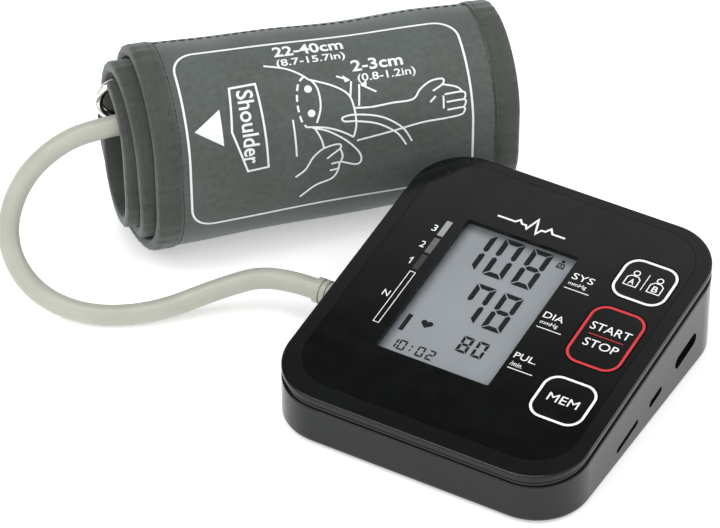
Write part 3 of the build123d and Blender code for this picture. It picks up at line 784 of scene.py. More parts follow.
# ---------------------------------------------------------------------------
# Stitching
# ---------------------------------------------------------------------------
class StitchTree:
    """Geometry Nodes tree that sews thread along the edges of a mesh."""

    def __init__(self) -> None:
        """Build the tree: resampled path, one stitch on each point, slightly uneven."""
        tree = bpy.data.node_groups.new("sewn_line", "GeometryNodeTree")
        self.tree = tree
        face = tree.interface
        face.new_socket("Geometry", in_out="INPUT", socket_type="NodeSocketGeometry")
        self.sockets = {
            label: face.new_socket(label, in_out="INPUT", socket_type=kind).identifier
            for label, kind in (("Pitch", "NodeSocketFloat"), ("Stitch", "NodeSocketFloat"),
                                ("Thickness", "NodeSocketFloat"), ("Seed", "NodeSocketInt"),
                                ("Thread", "NodeSocketMaterial"))
        }
        face.new_socket("Geometry", in_out="OUTPUT", socket_type="NodeSocketGeometry")
        add, link = tree.nodes.new, tree.links.new
        start, end = add("NodeGroupInput"), add("NodeGroupOutput")
        curve, spaced = add("GeometryNodeMeshToCurve"), add("GeometryNodeResampleCurve")
        spaced.mode = "LENGTH"
        ball, shaped = add("GeometryNodeMeshUVSphere"), add("GeometryNodeTransform")
        ball.inputs["Segments"].default_value = 6
        ball.inputs["Rings"].default_value = 5
        ball.inputs["Radius"].default_value = 0.5
        tangent, turn = add("GeometryNodeInputTangent"), add("FunctionNodeAlignRotationToVector")
        turn.axis = "X"
        size, jitter = add("ShaderNodeCombineXYZ"), add("FunctionNodeRandomValue")
        jitter.data_type = "FLOAT"
        jitter.inputs[2].default_value, jitter.inputs[3].default_value = 0.82, 1.12
        put, real, paint = (add("GeometryNodeInstanceOnPoints"), add("GeometryNodeRealizeInstances"),
                            add("GeometryNodeSetMaterial"))
        link(start.outputs["Geometry"], curve.inputs["Mesh"])
        link(curve.outputs["Curve"], spaced.inputs["Curve"])
        link(start.outputs["Pitch"], spaced.inputs["Length"])
        link(start.outputs["Stitch"], size.inputs["X"])
        link(start.outputs["Thickness"], size.inputs["Y"])
        link(start.outputs["Thickness"], size.inputs["Z"])
        link(ball.outputs["Mesh"], shaped.inputs["Geometry"])
        link(size.outputs[0], shaped.inputs["Scale"])
        link(tangent.outputs[0], turn.inputs["Vector"])
        link(start.outputs["Seed"], jitter.inputs["Seed"])
        link(spaced.outputs["Curve"], put.inputs["Points"])
        link(shaped.outputs["Geometry"], put.inputs["Instance"])
        link(turn.outputs[0], put.inputs["Rotation"])
        link(jitter.outputs[1], put.inputs["Scale"])
        link(put.outputs["Instances"], real.inputs["Geometry"])
        link(real.outputs["Geometry"], paint.inputs["Geometry"])
        link(start.outputs["Thread"], paint.inputs["Material"])
        link(paint.outputs["Geometry"], end.inputs["Geometry"])

    def sew(self, name: str, paths: list[list[Vector]], pitch: float, stitch: float, thickness: float,
            thread: bpy.types.Material, seed: int) -> bpy.types.Object:
        """Sew along some paths and keep the result as a plain mesh.

        Args:
            name: the piece's name.
            paths: lines of points in metres.
            pitch: from one stitch to the next.
            stitch: a stitch's length.
            thickness: the thread's.
            thread: its material.
            seed: fixes the unevenness.

        Returns:
            The sewn piece.
        """
        points, edges = [], []
        for path in paths:
            edges += [(len(points) + i, len(points) + i + 1) for i in range(len(path) - 1)]
            points += [tuple(p) for p in path]
        guide = bpy.data.meshes.new(name + "_guide")
        guide.from_pydata(points, edges, [])
        holder = bpy.data.objects.new(name + "_guide", guide)
        bpy.context.scene.collection.objects.link(holder)
        worker = holder.modifiers.new("sewing", "NODES")
        worker.node_group = self.tree
        values = {"Pitch": pitch, "Stitch": stitch, "Thickness": thickness, "Seed": seed, "Thread": thread}
        for label, value in values.items():
            worker[self.sockets[label]] = value
        held = holder.evaluated_get(bpy.context.evaluated_depsgraph_get())
        mesh = bpy.data.meshes.new_from_object(held)
        mesh.name = name
        holder.modifiers.clear()
        bpy.data.objects.remove(holder)
        bpy.data.meshes.remove(guide)
        if not mesh.materials:
            mesh.materials.append(thread)
        mesh.shade_smooth()
        piece = bpy.data.objects.new(name, mesh)
        bpy.context.scene.collection.objects.link(piece)
        return piece


# ---------------------------------------------------------------------------
# Monitor unit
# ---------------------------------------------------------------------------
@dataclass
class Monitor:
    """The wedge-shaped unit: its mouldings' finishes, the printed panel and the display."""

    wardrobe: Wardrobe
    tilt: float = 7.9
    panel_height: float = 31.2
    cell_level: float = -2.4
    keys: dict[str, tuple[float, float, float, float]] = field(default_factory=lambda: {
        "user_key": (41.5, 33.8, 22.0, 20.8),
        "start_stop_key": (41.3, 2.9, 22.0, 30.3),
        "memory_key": (41.5, -30.4, 21.6, 21.5),
    })
    key_bodies: dict[str, str] = field(default_factory=lambda: {
        "user_key": "user_button",
        "start_stop_key": "start_stop_button",
        "memory_key": "memory_button",
    })

    FINISHES = {
        "top_case": "satin_case", "front_panel": "gloss_panel", "display_window": "clear_window",
        "lcd_glass": "display_cell", "lcd_holder": "inner_moulding", "contact_strips": "silicone",
        "main_board": "solder_mask", "tact_switches": "motor_can", "board_chips": "chip_epoxy",
        "buzzer": "chip_epoxy", "pressure_sensor": "inner_moulding", "pump_motor": "motor_can",
        "pump_head": "inner_moulding", "exhaust_valve": "motor_can", "air_manifold": "inner_moulding",
        "air_tubes": "silicone", "hose_socket": "dark_rubber", "lower_housing": "housing_shell",
        "battery_cells": "cell_wrap", "battery_springs": "spring_nickel", "battery_door": "housing_shell",
        "power_socket": "chip_epoxy", "rubber_feet": "dark_rubber", "case_screws": "spring_nickel",
        "user_key": "key_cap", "start_stop_key": "key_cap", "memory_key": "key_cap",
    }

    def on_panel(self, x: float, y: float, height: float) -> Vector:
        """The point over the panel at coordinates across and up its slope.

        Args:
            x: across, in millimetres from its middle.
            y: up the slope.
            height: above its face.

        Returns:
            The point in metres.
        """
        slope = math.radians(self.tilt)
        up, out = Vector((0, math.cos(slope), math.sin(slope))), Vector((0, -math.sin(slope), math.cos(slope)))
        return (UNIT + Vector((x, 0, self.panel_height)) + up * y + out * height) * MM

    def on_cell(self, x: float, y: float, height: float) -> Vector:
        """The point over the display cell's face."""
        return self.on_panel(x, y, self.cell_level + height)

    def dress(self) -> None:
        """Give each moulding and part its finish."""
        for node, finish in self.FINISHES.items():
            self.wardrobe.dress(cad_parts[node], finish)
        log.info("monitor: %d carried-over pieces dressed", len(self.FINISHES))

    def print_on(self, art: Artwork, name: str, body: str, ink: str) -> None:
        """Lay panel artwork and let it ride on a body.

        Args:
            art: what is printed.
            name: the piece's name.
            body: the body that carries it.
            ink: its finish.
        """
        piece = art.lay(name, self.on_panel, -0.02, 0.045, self.wardrobe[ink])
        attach(piece, body)
        log.info("monitor: %s with %d faces", name, len(piece.data.polygons))

    def print_panel(self) -> None:
        """Scale bars, their figures, the value names and a plain pulse mark."""
        white = Artwork()
        for text, x0, y0, x1, y1 in (
                ("SYS", 16.2, 24.2, 24.8, 27.3), ("mmHg", 16.4, 20.6, 23.6, 22.9),
                ("DIA", 15.8, 2.6, 23.8, 5.6), ("mmHg", 16.2, -1.0, 23.2, 1.3),
                ("PUL.", 15.6, -19.6, 24.4, -16.7), ("/min.", 16.0, -23.4, 21.0, -21.1),
                ("3", -41.8, 23.6, -39.9, 26.8), ("2", -41.8, 14.4, -39.9, 17.6),
                ("N", -42.2, -13.0, -39.7, -10.0)):
            white.letters(text, x0, y0, x1, y1)
        white.line([(-41.6, 7.5), (-40.7, 8.4), (-40.7, 5.2)], 0.42)
        for y in (19.2, -2.4, -24.6):
            white.line([(16.0, y), (25.9, y)], 0.35)
        white.line([(-38.4, -25.8), (-36.2, -25.8), (-36.2, 1.9), (-38.4, 1.9)], 0.28, closed=True)
        trace = [(-23.0, 41.0), (-15.6, 41.0), (-14.2, 42.6), (-12.8, 41.0), (-11.2, 41.0), (-10.2, 39.4),
                 (-8.2, 45.6), (-6.0, 38.4), (-4.8, 41.0), (-3.2, 41.0), (-1.8, 43.2), (-0.2, 41.0),
                 (5.0, 41.0)]
        white.line(trace, 0.8)
        self.print_on(white, "panel_print_white", "monitor", "white_ink")
        for name, ink, low, high in (("scale_bar_high", "pale_ink", 22.3, 30.4),
                                     ("scale_bar_raised", "mid_ink", 12.7, 20.8),
                                     ("scale_bar_edge", "dim_ink", 3.5, 11.4)):
            bar = Artwork()
            bar.box(-38.5, low, -36.1, high)
            self.print_on(bar, name, "monitor", ink)

    def print_keys(self) -> None:
        """Key outlines with their words and figures, each on its own key."""
        for key, (x, y, width, length) in self.keys.items():
            inset = 0.75
            outline = rounded_path(x - width / 2 + inset, y - length / 2 + inset,
                                   x + width / 2 - inset, y + length / 2 - inset, 5.6, 10)
            frame_art, words = Artwork(), Artwork()
            frame_art.line(outline, 1.0, closed=True)
            if key == "start_stop_key":
                words.letters("START", x - 7.9, y + 2.2, x + 8.0, y + 6.0)
                words.letters("STOP", x - 6.7, y - 6.0, x + 6.9, y - 2.2)
                frame_art.line([(x - 6.9, y), (x + 6.9, y)], 0.3)
            elif key == "memory_key":
                words.letters("MEM", x - 6.0, y - 1.9, x + 6.0, y + 1.9)
            else:
                words.line([(x, y - 4.2), (x, y + 4.2)], 0.32)
                for side, letter in ((-1, "A"), (1, "B")):
                    self.person(words, x + side * 4.7, y, letter)
            body = self.key_bodies[key]
            self.print_on(frame_art, key + "_outline", body,
                          "red_ink" if key == "start_stop_key" else "white_ink")
            self.print_on(words, key + "_words", body, "white_ink")

    @staticmethod
    def person(art: Artwork, x: float, y: float, letter: str) -> None:
        """A user sign: round head over a shouldered body with a letter inside.

        Args:
            art: what it is drawn into.
            x: its middle.
            y: its middle's height.
            letter: the letter inside.
        """
        ring = [(x + 1.15 * math.cos(a * math.pi / 8), y + 3.0 + 1.15 * math.sin(a * math.pi / 8))
                for a in range(16)]
        art.line(ring, 0.42, closed=True)
        art.line([(x - 2.5, y - 3.7), (x - 2.5, y + 0.2), (x - 1.3, y + 1.4), (x + 1.3, y + 1.4),
                  (x + 2.5, y + 0.2), (x + 2.5, y - 3.7)], 0.42, closed=True)
        art.letters(letter, x - 1.1, y - 3.0, x + 1.1, y - 0.1, 0.008)

    def show_reading(self) -> None:
        """The figures, heart, level mark and user sign that the display shows."""
        art = Artwork()
        digits = Digits(art)
        for sign, x in (("1", -27.0), ("0", -15.6), ("8", -3.9)):
            digits.figure(sign, x, 14.0, 8.3, 19.8, 2.15)
        for sign, x in (("7", -14.2), ("8", -3.1)):
            digits.figure(sign, x, -9.9, 8.0, 19.2, 2.05)
        for sign, x in (("8", -6.0), ("0", 0.1)):
            digits.figure(sign, x, -24.0, 4.4, 8.1, 1.15)
        for sign, x in (("1", -29.3), ("0", -25.7), ("0", -18.2), ("2", -14.0)):
            digits.figure(sign, x, -32.4, 3.0, 4.9, 0.68)
        for y in (-29.0, -31.0):
            art.box(-20.9, y - 0.35, -20.2, y + 0.35)
        art.box(-29.5, -23.6, -27.7, -15.1)
        heart = [(0.0, -1.0), (0.45, -0.52), (0.92, -0.02), (1.0, 0.42), (0.82, 0.78), (0.5, 0.9), (0.18, 0.78),
                 (0.0, 0.5), (-0.18, 0.78), (-0.5, 0.9), (-0.82, 0.78), (-1.0, 0.42), (-0.92, -0.02),
                 (-0.45, -0.52)]
        art.polygon([(-21.2 + 2.4 * x, -17.1 + 1.95 * y) for x, y in heart])
        art.disc(8.9, 32.3, 0.75)
        art.line([(7.5, 28.9), (7.8, 31.0), (10.0, 31.0), (10.3, 28.9)], 0.5, closed=True)
        art.letters("A", 8.1, 29.2, 9.7, 30.8)
        piece = art.lay("display_segments", self.on_cell, 0.01, 0.07, self.wardrobe["segment_ink"])
        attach(piece, "monitor")
        log.info("monitor: display with %d faces", len(piece.data.polygons))

    def build(self) -> None:
        """Make everything on the unit."""
        self.dress()
        self.print_panel()
        self.print_keys()
        self.show_reading()


# ---------------------------------------------------------------------------
# Cuff
# ---------------------------------------------------------------------------
@dataclass(frozen=True)
class Roll:
    """The rolled strip: half circles joined by upright runs, each half turn smaller than the last.

    A place on it is s, millimetres along the strip from its outer free end, w, across its width from
    the left edge, and a depth below its outer face.
    """

    foot: Flat = (-98.131, -24.618)
    angle: float = 46.0
    radius: float = 33.0
    straight: float = 18.0
    step: float = 2.5
    taper: float = 0.08
    width: float = 142.0
    half_turns: int = 6
    last_turn: float = 100.0
    slide: float = 10.0
    slide_from: float = 185.0
    tail_slide: float = 7.5
    tail_until: float = 100.0

    def arc(self, index: int) -> tuple[float, float, float, float]:
        """Centre across, centre up, radius and length of one half turn.

        Args:
            index: which half turn, counted from the outer end.

        Returns:
            Those four values in millimetres.
        """
        radius = self.radius - index * self.step
        sweep = self.last_turn if index == self.half_turns - 1 else 180.0
        centre = (0.0, self.radius) if index % 2 == 0 else (self.step, self.radius + self.straight)
        return (*centre, radius, math.radians(sweep) * radius)

    def length(self) -> float:
        """Whole length of the strip's outer face."""
        return sum(self.arc(i)[3] for i in range(self.half_turns)) + self.straight * (self.half_turns - 1)

    def start_of(self, index: int) -> float:
        """Where one half turn begins along the strip."""
        return sum(self.arc(i)[3] + self.straight for i in range(index))

    def section(self, s: float, depth: float) -> Flat:
        """Across and up of a place in the roll's end plane.

        Args:
            s: along the strip.
            depth: below its outer face.

        Returns:
            The two coordinates in millimetres.
        """
        for index in range(self.half_turns):
            across, up, radius, arc = self.arc(index)
            begin = self.start_of(index)
            turn = math.pi * (1 if index % 2 == 0 else 0)
            if s <= begin + arc or index == self.half_turns - 1:
                angle = turn + (s - begin) / radius
                return (across + (radius - depth) * math.cos(angle), up + (radius - depth) * math.sin(angle))
            if s <= begin + arc + self.straight:
                run = s - begin - arc
                if index % 2 == 0:
                    return (across + radius - depth, up + run)
                return (across - radius + depth, up - run)
        raise ValueError("place beyond the strip")

    def billow(self, s: float, w: float) -> float:
        """How far the cloth stands out from the tight roll at a place.

        Args:
            s: along the strip.
            w: across its width.

        Returns:
            The height in millimetres.
        """
        edge = max(0.0, min(w, self.width - w))
        loose = 1.0 - 0.85 * min(1.0, max(0.0, (s - 200.0) / 30.0))
        soft = (0.50 * math.sin(w / 17 + s / 31 + 0.7) * math.sin(s / 23 - w / 57 + 1.1)
                + 0.34 * math.sin(w / 6.1 - s / 47 + 2.0) * math.sin(s / 13 + 0.4) * math.exp(-edge / 14)
                + 0.38 * math.sin(w / 8.7 + 1.3) * math.exp(-((s - 181) / 12) ** 2)
                + 0.22 * math.sin(w / 11.0 + s / 5.5) * math.exp(-((s - 70) / 18) ** 2))
        return loose * (soft + 0.2)

    def place(self, s: float, w: float, depth: float) -> Vector:
        """The point in metres of a place on the strip.

        Args:
            s: along the strip.
            w: across its width.
            depth: below its outer face.

        Returns:
            The point.
        """
        drawn = min(1.0, max(0.0, (s - self.slide_from) / (self.length() - self.slide_from)))
        pull = -self.slide * (1.0 - (1.0 - drawn) ** 1.6)
        lead = max(0.0, 1.0 - s / self.tail_until)
        along = w + pull - self.tail_slide * lead * lead * (3.0 - 2.0 * lead)
        k = 1.0 - self.taper * along / self.width
        across, up = self.section(s, depth - self.billow(s, w))
        turn = math.radians(self.angle)
        x = self.foot[0] + math.cos(turn) * along + math.sin(turn) * across * k
        y = self.foot[1] + math.sin(turn) * along - math.cos(turn) * across * k
        return Vector((x, y, max(up * k, 0.06))) * MM


@dataclass
class Cuff:
    """The rolled arm cuff: cover, lining, bindings, sewing, printed guide, ring loop and ring."""

    wardrobe: Wardrobe
    stitches: StitchTree
    roll: Roll = field(default_factory=Roll)
    cover: float = 1.0
    lining_depth: float = 2.5
    thickness: float = 3.4
    binding: float = 9.5
    tuck: float = 3.0

    def stations(self, start: float, end: float, step: float) -> list[float]:
        """Evenly spaced values from start to end.

        Args:
            start: the first value.
            end: the last value.
            step: about how far apart they are.

        Returns:
            The values.
        """
        count = max(1, round((end - start) / step))
        return [start + (end - start) * i / count for i in range(count + 1)]

    def ply(self, name: str, outer: float, inner: float, finish: str, w0: float, w1: float,
            s0: float, s1: float) -> bpy.types.Object:
        """A closed layer of cloth between two depths.

        Args:
            name: the piece's name.
            outer: depth of its outer face.
            inner: depth of its inner face.
            finish: its cloth.
            w0: its left edge.
            w1: its right edge.
            s0: its outer end.
            s1: its inner end.

        Returns:
            The layer.
        """
        across, along = self.stations(w0, w1, 2.4), self.stations(s0, s1, 2.4)
        wide, count = len(across), len(across) * len(along)
        points, uvs = [], []
        for depth in (outer, inner):
            for s in along:
                for w in across:
                    points.append(self.roll.place(s, w, depth))
                    uvs.append((w * MM, s * MM))
        faces = []
        for i in range(len(along) - 1):
            for j in range(wide - 1):
                a = i * wide + j
                faces.append((a, a + 1, a + wide + 1, a + wide))
                faces.append((count + a, count + a + wide, count + a + wide + 1, count + a + 1))
        for i in range(len(along) - 1):
            for a in (i * wide, i * wide + wide - 1):
                faces.append((a, a + wide, count + a + wide, count + a))
        for j in range(wide - 1):
            for a in (j, (len(along) - 1) * wide + j):
                faces.append((a, a + 1, count + a + 1, count + a))
        return new_piece(name, points, faces, self.wardrobe[finish], uvs)

    def bead(self, name: str, right: bool) -> bpy.types.Object:
        """Edge binding: tape folded round the plies, puckered by its sewing.

        Args:
            name: the piece's name.
            right: whether it closes the right edge.

        Returns:
            The binding.
        """
        proud, back = 0.5, self.thickness + 0.25
        width = self.binding
        profile = [(width, 0.15), (width - 0.35, -proud * 0.8), (width - 1.6, -proud), (width * 0.55, -proud),
                   (1.7, -proud), (0.55, -proud * 0.35), (0.05, 0.7), (0.0, self.thickness / 2),
                   (0.05, self.thickness - 0.7), (0.55, self.thickness), (1.7, back), (width * 0.55, back),
                   (width - 1.6, back), (width - 0.35, back), (width, self.thickness - 0.1)]
        along = self.stations(0.0, self.roll.length(), 1.6)
        ring = len(profile)
        points, uvs = [], []
        for s in along:
            pucker = 0.20 * math.sin(s * 2 * math.pi / 6.4) + 0.14 * math.sin(s * 2 * math.pi / 3.7 + 0.6)
            for number, (inward, depth) in enumerate(profile):
                w = self.roll.width - inward if right else inward
                lift = pucker if 2 <= number <= 5 else 0.0
                wander = 0.28 * math.sin(s / 9.0) * (inward / width)
                points.append(self.roll.place(s, w + (-wander if right else wander), depth - lift))
                uvs.append(((inward + number * 0.4) * MM, s * MM))
        faces = []
        for i in range(len(along) - 1):
            for j in range(ring):
                a, b = i * ring + j, i * ring + (j + 1) % ring
                faces.append((a, b, b + ring, a + ring))
        faces.append(tuple(range(ring)))
        faces.append(tuple((len(along) - 1) * ring + j for j in range(ring)))
        return new_piece(name, points, faces, self.wardrobe["binding_tape"], uvs)

    def sewn(self, name: str, lines: list[tuple[float, float, float]], pitch: float, stitch: float,
             thickness: float, thread: str, seed: int) -> bpy.types.Object:
        """Sewing along the strip at some widths, each between two places.

        Args:
            name: the piece's name.
            lines: a width and two places along the strip for each row.
            pitch: from one stitch to the next, in millimetres.
            stitch: a stitch's length.
            thickness: the thread's.
            thread: its finish.
            seed: fixes the unevenness.

        Returns:
            The sewn piece.
        """
        paths = [[self.roll.place(s, w, -0.56) for s in self.stations(s0, s1, 1.5)] for w, s0, s1 in lines]
        piece = self.stitches.sew(name, paths, pitch * MM, stitch * MM, thickness * MM,
                                  self.wardrobe[thread], seed)
        return piece

    def guide(self) -> bpy.types.Object:
        """The printed wrapping guide: frame, arrow, arm and size marks, all plain line art.

        Returns:
            The printed piece.
        """
        art = Artwork()
        art.line(rounded_path(13.0, 94.0, 123.0, 168.5, 9.0, 10), 0.85, closed=True)
        art.polygon([(15.8, 136.5), (26.3, 143.6), (26.3, 129.6)])
        tag = [(31.5, 150.8), (41.6, 151.2), (43.0, 117.0), (35.0, 116.6), (29.8, 134.5)]
        art.line(tag, 0.8, closed=True)
        art.letters("Shoulder", 33.6, 120.0, 40.0, 149.4, 0.014, down=True)
        art.letters("22-40cm", 51.6, 161.3, 78.4, 166.4, 0.020)
        art.letters("(8.7-15.7in)", 51.6, 156.0, 78.0, 160.0, 0.012)
        art.letters("2-3cm", 79.2, 150.6, 99.0, 155.4, 0.020)
        art.letters("(0.8-1.2in)", 80.5, 145.4, 103.0, 149.4, 0.012)
        for path in self.arm_lines():
            art.line(flowing(path), 0.7, step=2.0)
        art.dashes(flowing([(60.5, 151.6), (57.6, 148.6), (56.0, 142.0), (56.6, 135.0), (58.6, 131.6)]),
                   0.8, 2.6, 1.5)
        for x, y in ((61.0, 146.4), (60.8, 137.0)):
            art.disc(x, y, 1.45)
        for tip, side in (((77.6, 147.4), -1), ((81.0, 145.2), 1)):
            art.polygon([tip, (tip[0] + side * 2.6, tip[1] + 1.9 - side * 0.6),
                         (tip[0] + side * 2.2, tip[1] - 1.1 - side * 0.6)])
        return art.lay("cuff_printed_guide", lambda x, y, h: self.roll.place(y, x, -h), 0.01, 0.14,
                       self.wardrobe["cuff_ink"], 2.4)

    @staticmethod
    def arm_lines() -> list[list[Flat]]:
        """Outlines of a wrapped arm with its hose, and of the hand that pulls the strip tight.

        Returns:
            One list of points for each line.
        """
        return [
            [(46.5, 158.0), (54.0, 155.8), (59.0, 152.8), (62.0, 150.0)],
            [(62.0, 150.0), (70.0, 146.6), (75.6, 142.4), (77.2, 137.0), (77.4, 130.0), (76.2, 125.0)],
            [(62.6, 150.0), (64.6, 146.0), (64.6, 139.0), (62.4, 133.0)],
            [(58.8, 131.8), (66.0, 130.4), (72.0, 127.6), (76.2, 124.6)],
            [(77.6, 136.6), (84.0, 136.0), (92.0, 136.4), (100.0, 136.6), (103.4, 140.0), (108.0, 142.6),
             (112.6, 142.8), (112.4, 140.8), (108.2, 138.6)],
            [(112.4, 140.6), (117.6, 138.8), (119.6, 136.6)],
            [(112.6, 136.6), (119.6, 136.6), (120.6, 134.9), (119.8, 133.4)],
            [(113.0, 133.4), (119.8, 133.4), (120.4, 131.8), (119.4, 130.2)],
            [(113.0, 130.2), (119.4, 130.2), (119.6, 128.4), (118.0, 127.2), (112.0, 126.8), (102.6, 126.6),
             (90.0, 124.6), (77.4, 122.8)],
            [(106.6, 134.4), (109.0, 136.4)],
            [(112.0, 136.2), (111.6, 131.0)],
            [(96.6, 117.2), (93.0, 123.6), (86.0, 128.8), (78.0, 131.2), (73.0, 131.9), (72.6, 133.6),
             (78.0, 133.9), (87.6, 131.4), (95.2, 125.6), (98.8, 118.6)],
            [(60.6, 131.2), (66.6, 128.8), (73.4, 123.4), (78.2, 117.0), (79.0, 112.6), (76.8, 111.2),
             (70.8, 113.8)],
            [(53.4, 109.6), (57.4, 112.6), (60.4, 117.8), (64.6, 121.4), (70.2, 122.4), (71.0, 120.4),
             (67.6, 117.6), (65.8, 116.0)],
            [(64.6, 121.6), (63.6, 126.0), (61.6, 130.6)],
            [(71.0, 119.8), (71.8, 116.0), (70.6, 112.6), (69.8, 109.2), (67.4, 106.0), (61.0, 104.0),
             (55.0, 99.6)],
            [(67.4, 113.2), (70.6, 113.6)],
            [(66.8, 110.0), (70.0, 110.4)],
            [(53.4, 135.6), (54.0, 119.6)],
            [(72.6, 149.8), (77.2, 147.6)],
            [(81.4, 145.0), (86.6, 141.6)],
            [(77.8, 147.0), (76.4, 141.0)],
            [(80.6, 145.4), (79.2, 137.2)],
        ]

    def ring_loop(self) -> bpy.types.Object:
        """Cloth loop at the strip's inner end, folded round the ring's upper bar.

        Returns:
            The loop.
        """
        across, up, radius, _ = self.roll.arc(self.roll.half_turns - 1)
        angle = math.radians(self.roll.last_turn)
        reach = radius - self.thickness / 2 - 1.5
        bar = (across + reach * math.cos(angle) - 3.7, up + reach * math.sin(angle))
        neck = Vector((across + (radius - 1.7) * math.cos(angle) + 0.6,
                       up + (radius - 1.7) * math.sin(angle)))
        outline = []
        for step in range(25):
            turn = math.radians(70 + 270 * step / 24)
            outline.append((bar[0] + 3.2 * math.cos(turn), bar[1] + 3.2 * math.sin(turn)))
        outline += [(neck.x, neck.y - 1.3), (neck.x, neck.y + 1.2)]
        hole = [(bar[0] + 2.3 * math.cos(math.radians(a)), bar[1] + 2.3 * math.sin(math.radians(a)))
                for a in [70 + 270 * step / 24 for step in range(25)] + [350, 20]]
        count, turn = len(outline), math.radians(self.roll.angle)
        points, uvs = [], []
        across_strip = self.stations(10.0, self.roll.width - 12.0, 3.0)
        for w in across_strip:
            for shape in (outline, hole):
                for i, (x, y) in enumerate(shape):
                    k = 1.0 - self.roll.taper * w / self.roll.width
                    puff = 1.0 + (0.03 * math.sin(w / 5.0 + i) if shape is outline else 0.0)
                    x, y = (bar[0] + (x - bar[0]) * puff) * k, (bar[1] + (y - bar[1]) * puff) * k
                    points.append(Vector((
                        self.roll.foot[0] + math.cos(turn) * w + math.sin(turn) * x,
                        self.roll.foot[1] + math.sin(turn) * w - math.cos(turn) * x, y)) * MM)
                    uvs.append((w * MM, i * 0.7 * MM))
        faces = []
        for i in range(len(across_strip) - 1):
            for j in range(count):
                n = (j + 1) % count
                base = 2 * i * count
                faces.append((base + j, base + n, base + 2 * count + n, base + 2 * count + j))
                faces.append((base + count + j, base + 3 * count + j, base + 3 * count + n, base + count + n))
        for base in (0, 2 * (len(across_strip) - 1) * count):
            faces += [(base + j, base + (j + 1) % count, base + count + (j + 1) % count, base + count + j)
                      for j in range(count)]
        return new_piece("ring_cloth_loop", points, faces, self.wardrobe["binding_tape"], uvs)

    def build(self) -> None:
        """Make the cuff's pieces, let them ride on the cuff, hide the carried-over parts they replace and dress the
        rest.
        """
        roll, end = self.roll, self.roll.length()
        cover = self.ply("cuff_cover_cloth", 0.0, self.cover, "nylon_cover", self.tuck,
                         roll.width - self.tuck, 0.0, end)
        lining = self.ply("cuff_lining_cloth", self.lining_depth, self.thickness, "nylon_lining", self.tuck,
                          roll.width - self.tuck, 0.0, end)
        left, right = self.bead("cuff_left_edge", False), self.bead("cuff_right_edge", True)
        tail = self.ply("cuff_tail_edge", -0.3, self.thickness + 0.25, "binding_tape", self.tuck,
                        roll.width - self.tuck, -0.6, self.binding - 1.0)
        loop = self.ring_loop()
        width = roll.width
        rows = [(2.1, 2.0, end - 2), (7.7, 2.0, end - 2), (width - 7.7, 2.0, end - 2)]
        edge_sewing = self.sewn("edge_sewing", rows, 3.1, 2.3, 0.42, "thread", 7)
        seam = [[roll.place(s, w, -0.2) for w in self.stations(11.0, width - 11.0, 1.5)] for s in (182.0, 7.0)]
        cross_sewing = self.stitches.sew("cross_sewing", seam, 3.4 * MM, 2.6 * MM, 0.5 * MM,
                                         self.wardrobe["seam_thread_and_shadow_line"], 11)
        # Painted shadow: a nearly unbroken dark thread line beside each binding's inner edge, standing in for the
        # shadow where the binding meets the cover.
        edge_shadow_paths = [[roll.place(s, w, -0.05) for s in self.stations(2.0, end - 2, 1.5)]
                   for w in (self.binding + 0.5, width - self.binding - 0.5)]
        edge_shadow_line = self.stitches.sew("binding_edge_shadow_line", edge_shadow_paths, 2.2 * MM, 2.0 * MM, 0.34 * MM,
                                   self.wardrobe["seam_thread_and_shadow_line"], 19)
        printed = self.guide()
        for piece, nodes, slot in ((cover, ["cuff_cover"], "nylon_grey"), (lining, ["cuff_liner"], "nylon_dark"),
                                   (left, ["left_binding"], "binding_grey"),
                                   (right, ["right_binding"], "binding_grey"),
                                   (tail, [], "binding_grey"), (loop, ["ring_sleeve"], "binding_grey"),
                                   (edge_sewing, [], "binding_grey"), (cross_sewing, [], "binding_grey"),
                                   (edge_shadow_line, [], "binding_grey"),
                                   (printed, [], "nylon_grey")):
            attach(piece, "cuff")
            if nodes:
                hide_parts(*nodes)
            log.info("cuff: %s with %d faces", piece.name, len(piece.data.polygons))
        for node, finish in (("air_bladder", "bladder_rubber"), ("bladder_nipple", "bladder_rubber"),
                             ("hook_patch", "hook_tape"), ("loop_patch", "loop_tape"),
                             ("pull_ring", "ring_chrome")):
            self.wardrobe.dress(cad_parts[node], finish)


# ---------------------------------------------------------------------------
# Air hose
# ---------------------------------------------------------------------------
@dataclass
class Hose:
    """The air hose from the bladder's nipple to the plug in the unit's left wall."""

    wardrobe: Wardrobe
    diameter: float = 0.008
    length: float = 0.2127
    route: tuple[tuple[float, float, float], ...] = (
        (-0.087831, -0.029018, 0.0602),
        (-0.100031, -0.041618, 0.0602),
        (-0.113731, -0.052618, 0.0548),
        (-0.124631, -0.064618, 0.0400),
        (-0.123631, -0.077618, 0.0225),
        (-0.108131, -0.085118, 0.0095),
        (-0.086131, -0.083118, 0.0043),
        (-0.064131, -0.069118, 0.0043),
        (-0.046631, -0.049118, 0.0100),
        (-0.030131, -0.038618, 0.0160),
        (-0.011131, -0.038618, 0.0160),
    )

    def build(self) -> None:
        curve = bpy.data.curves.new("air_hose_run", "CURVE")
        curve.dimensions = "3D"
        curve.bevel_depth = self.diameter / 2
        curve.bevel_resolution = 8
        curve.resolution_u = 20
        curve.use_fill_caps = True
        spline = curve.splines.new("NURBS")
        spline.points.add(len(self.route) - 1)
        for point, place in zip(spline.points, self.route):
            point.co = (*place, 1.0)
        spline.order_u = 3
        spline.use_endpoint_u = True
        hose = bpy.data.objects.new("air_hose_run", curve)
        bpy.context.scene.collection.objects.link(hose)
        self.wardrobe.dress(hose, "hose_vinyl")
        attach(hose, "cuff")
        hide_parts("air_hose")
        plug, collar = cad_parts["air_plug"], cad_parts["plug_collar"]
        self.wardrobe.dress(plug, "inner_moulding")
        self.wardrobe.dress(collar, "hose_vinyl")
        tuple(self.route[0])
        log.info("hose: %.0f mm", self.length * 1000)


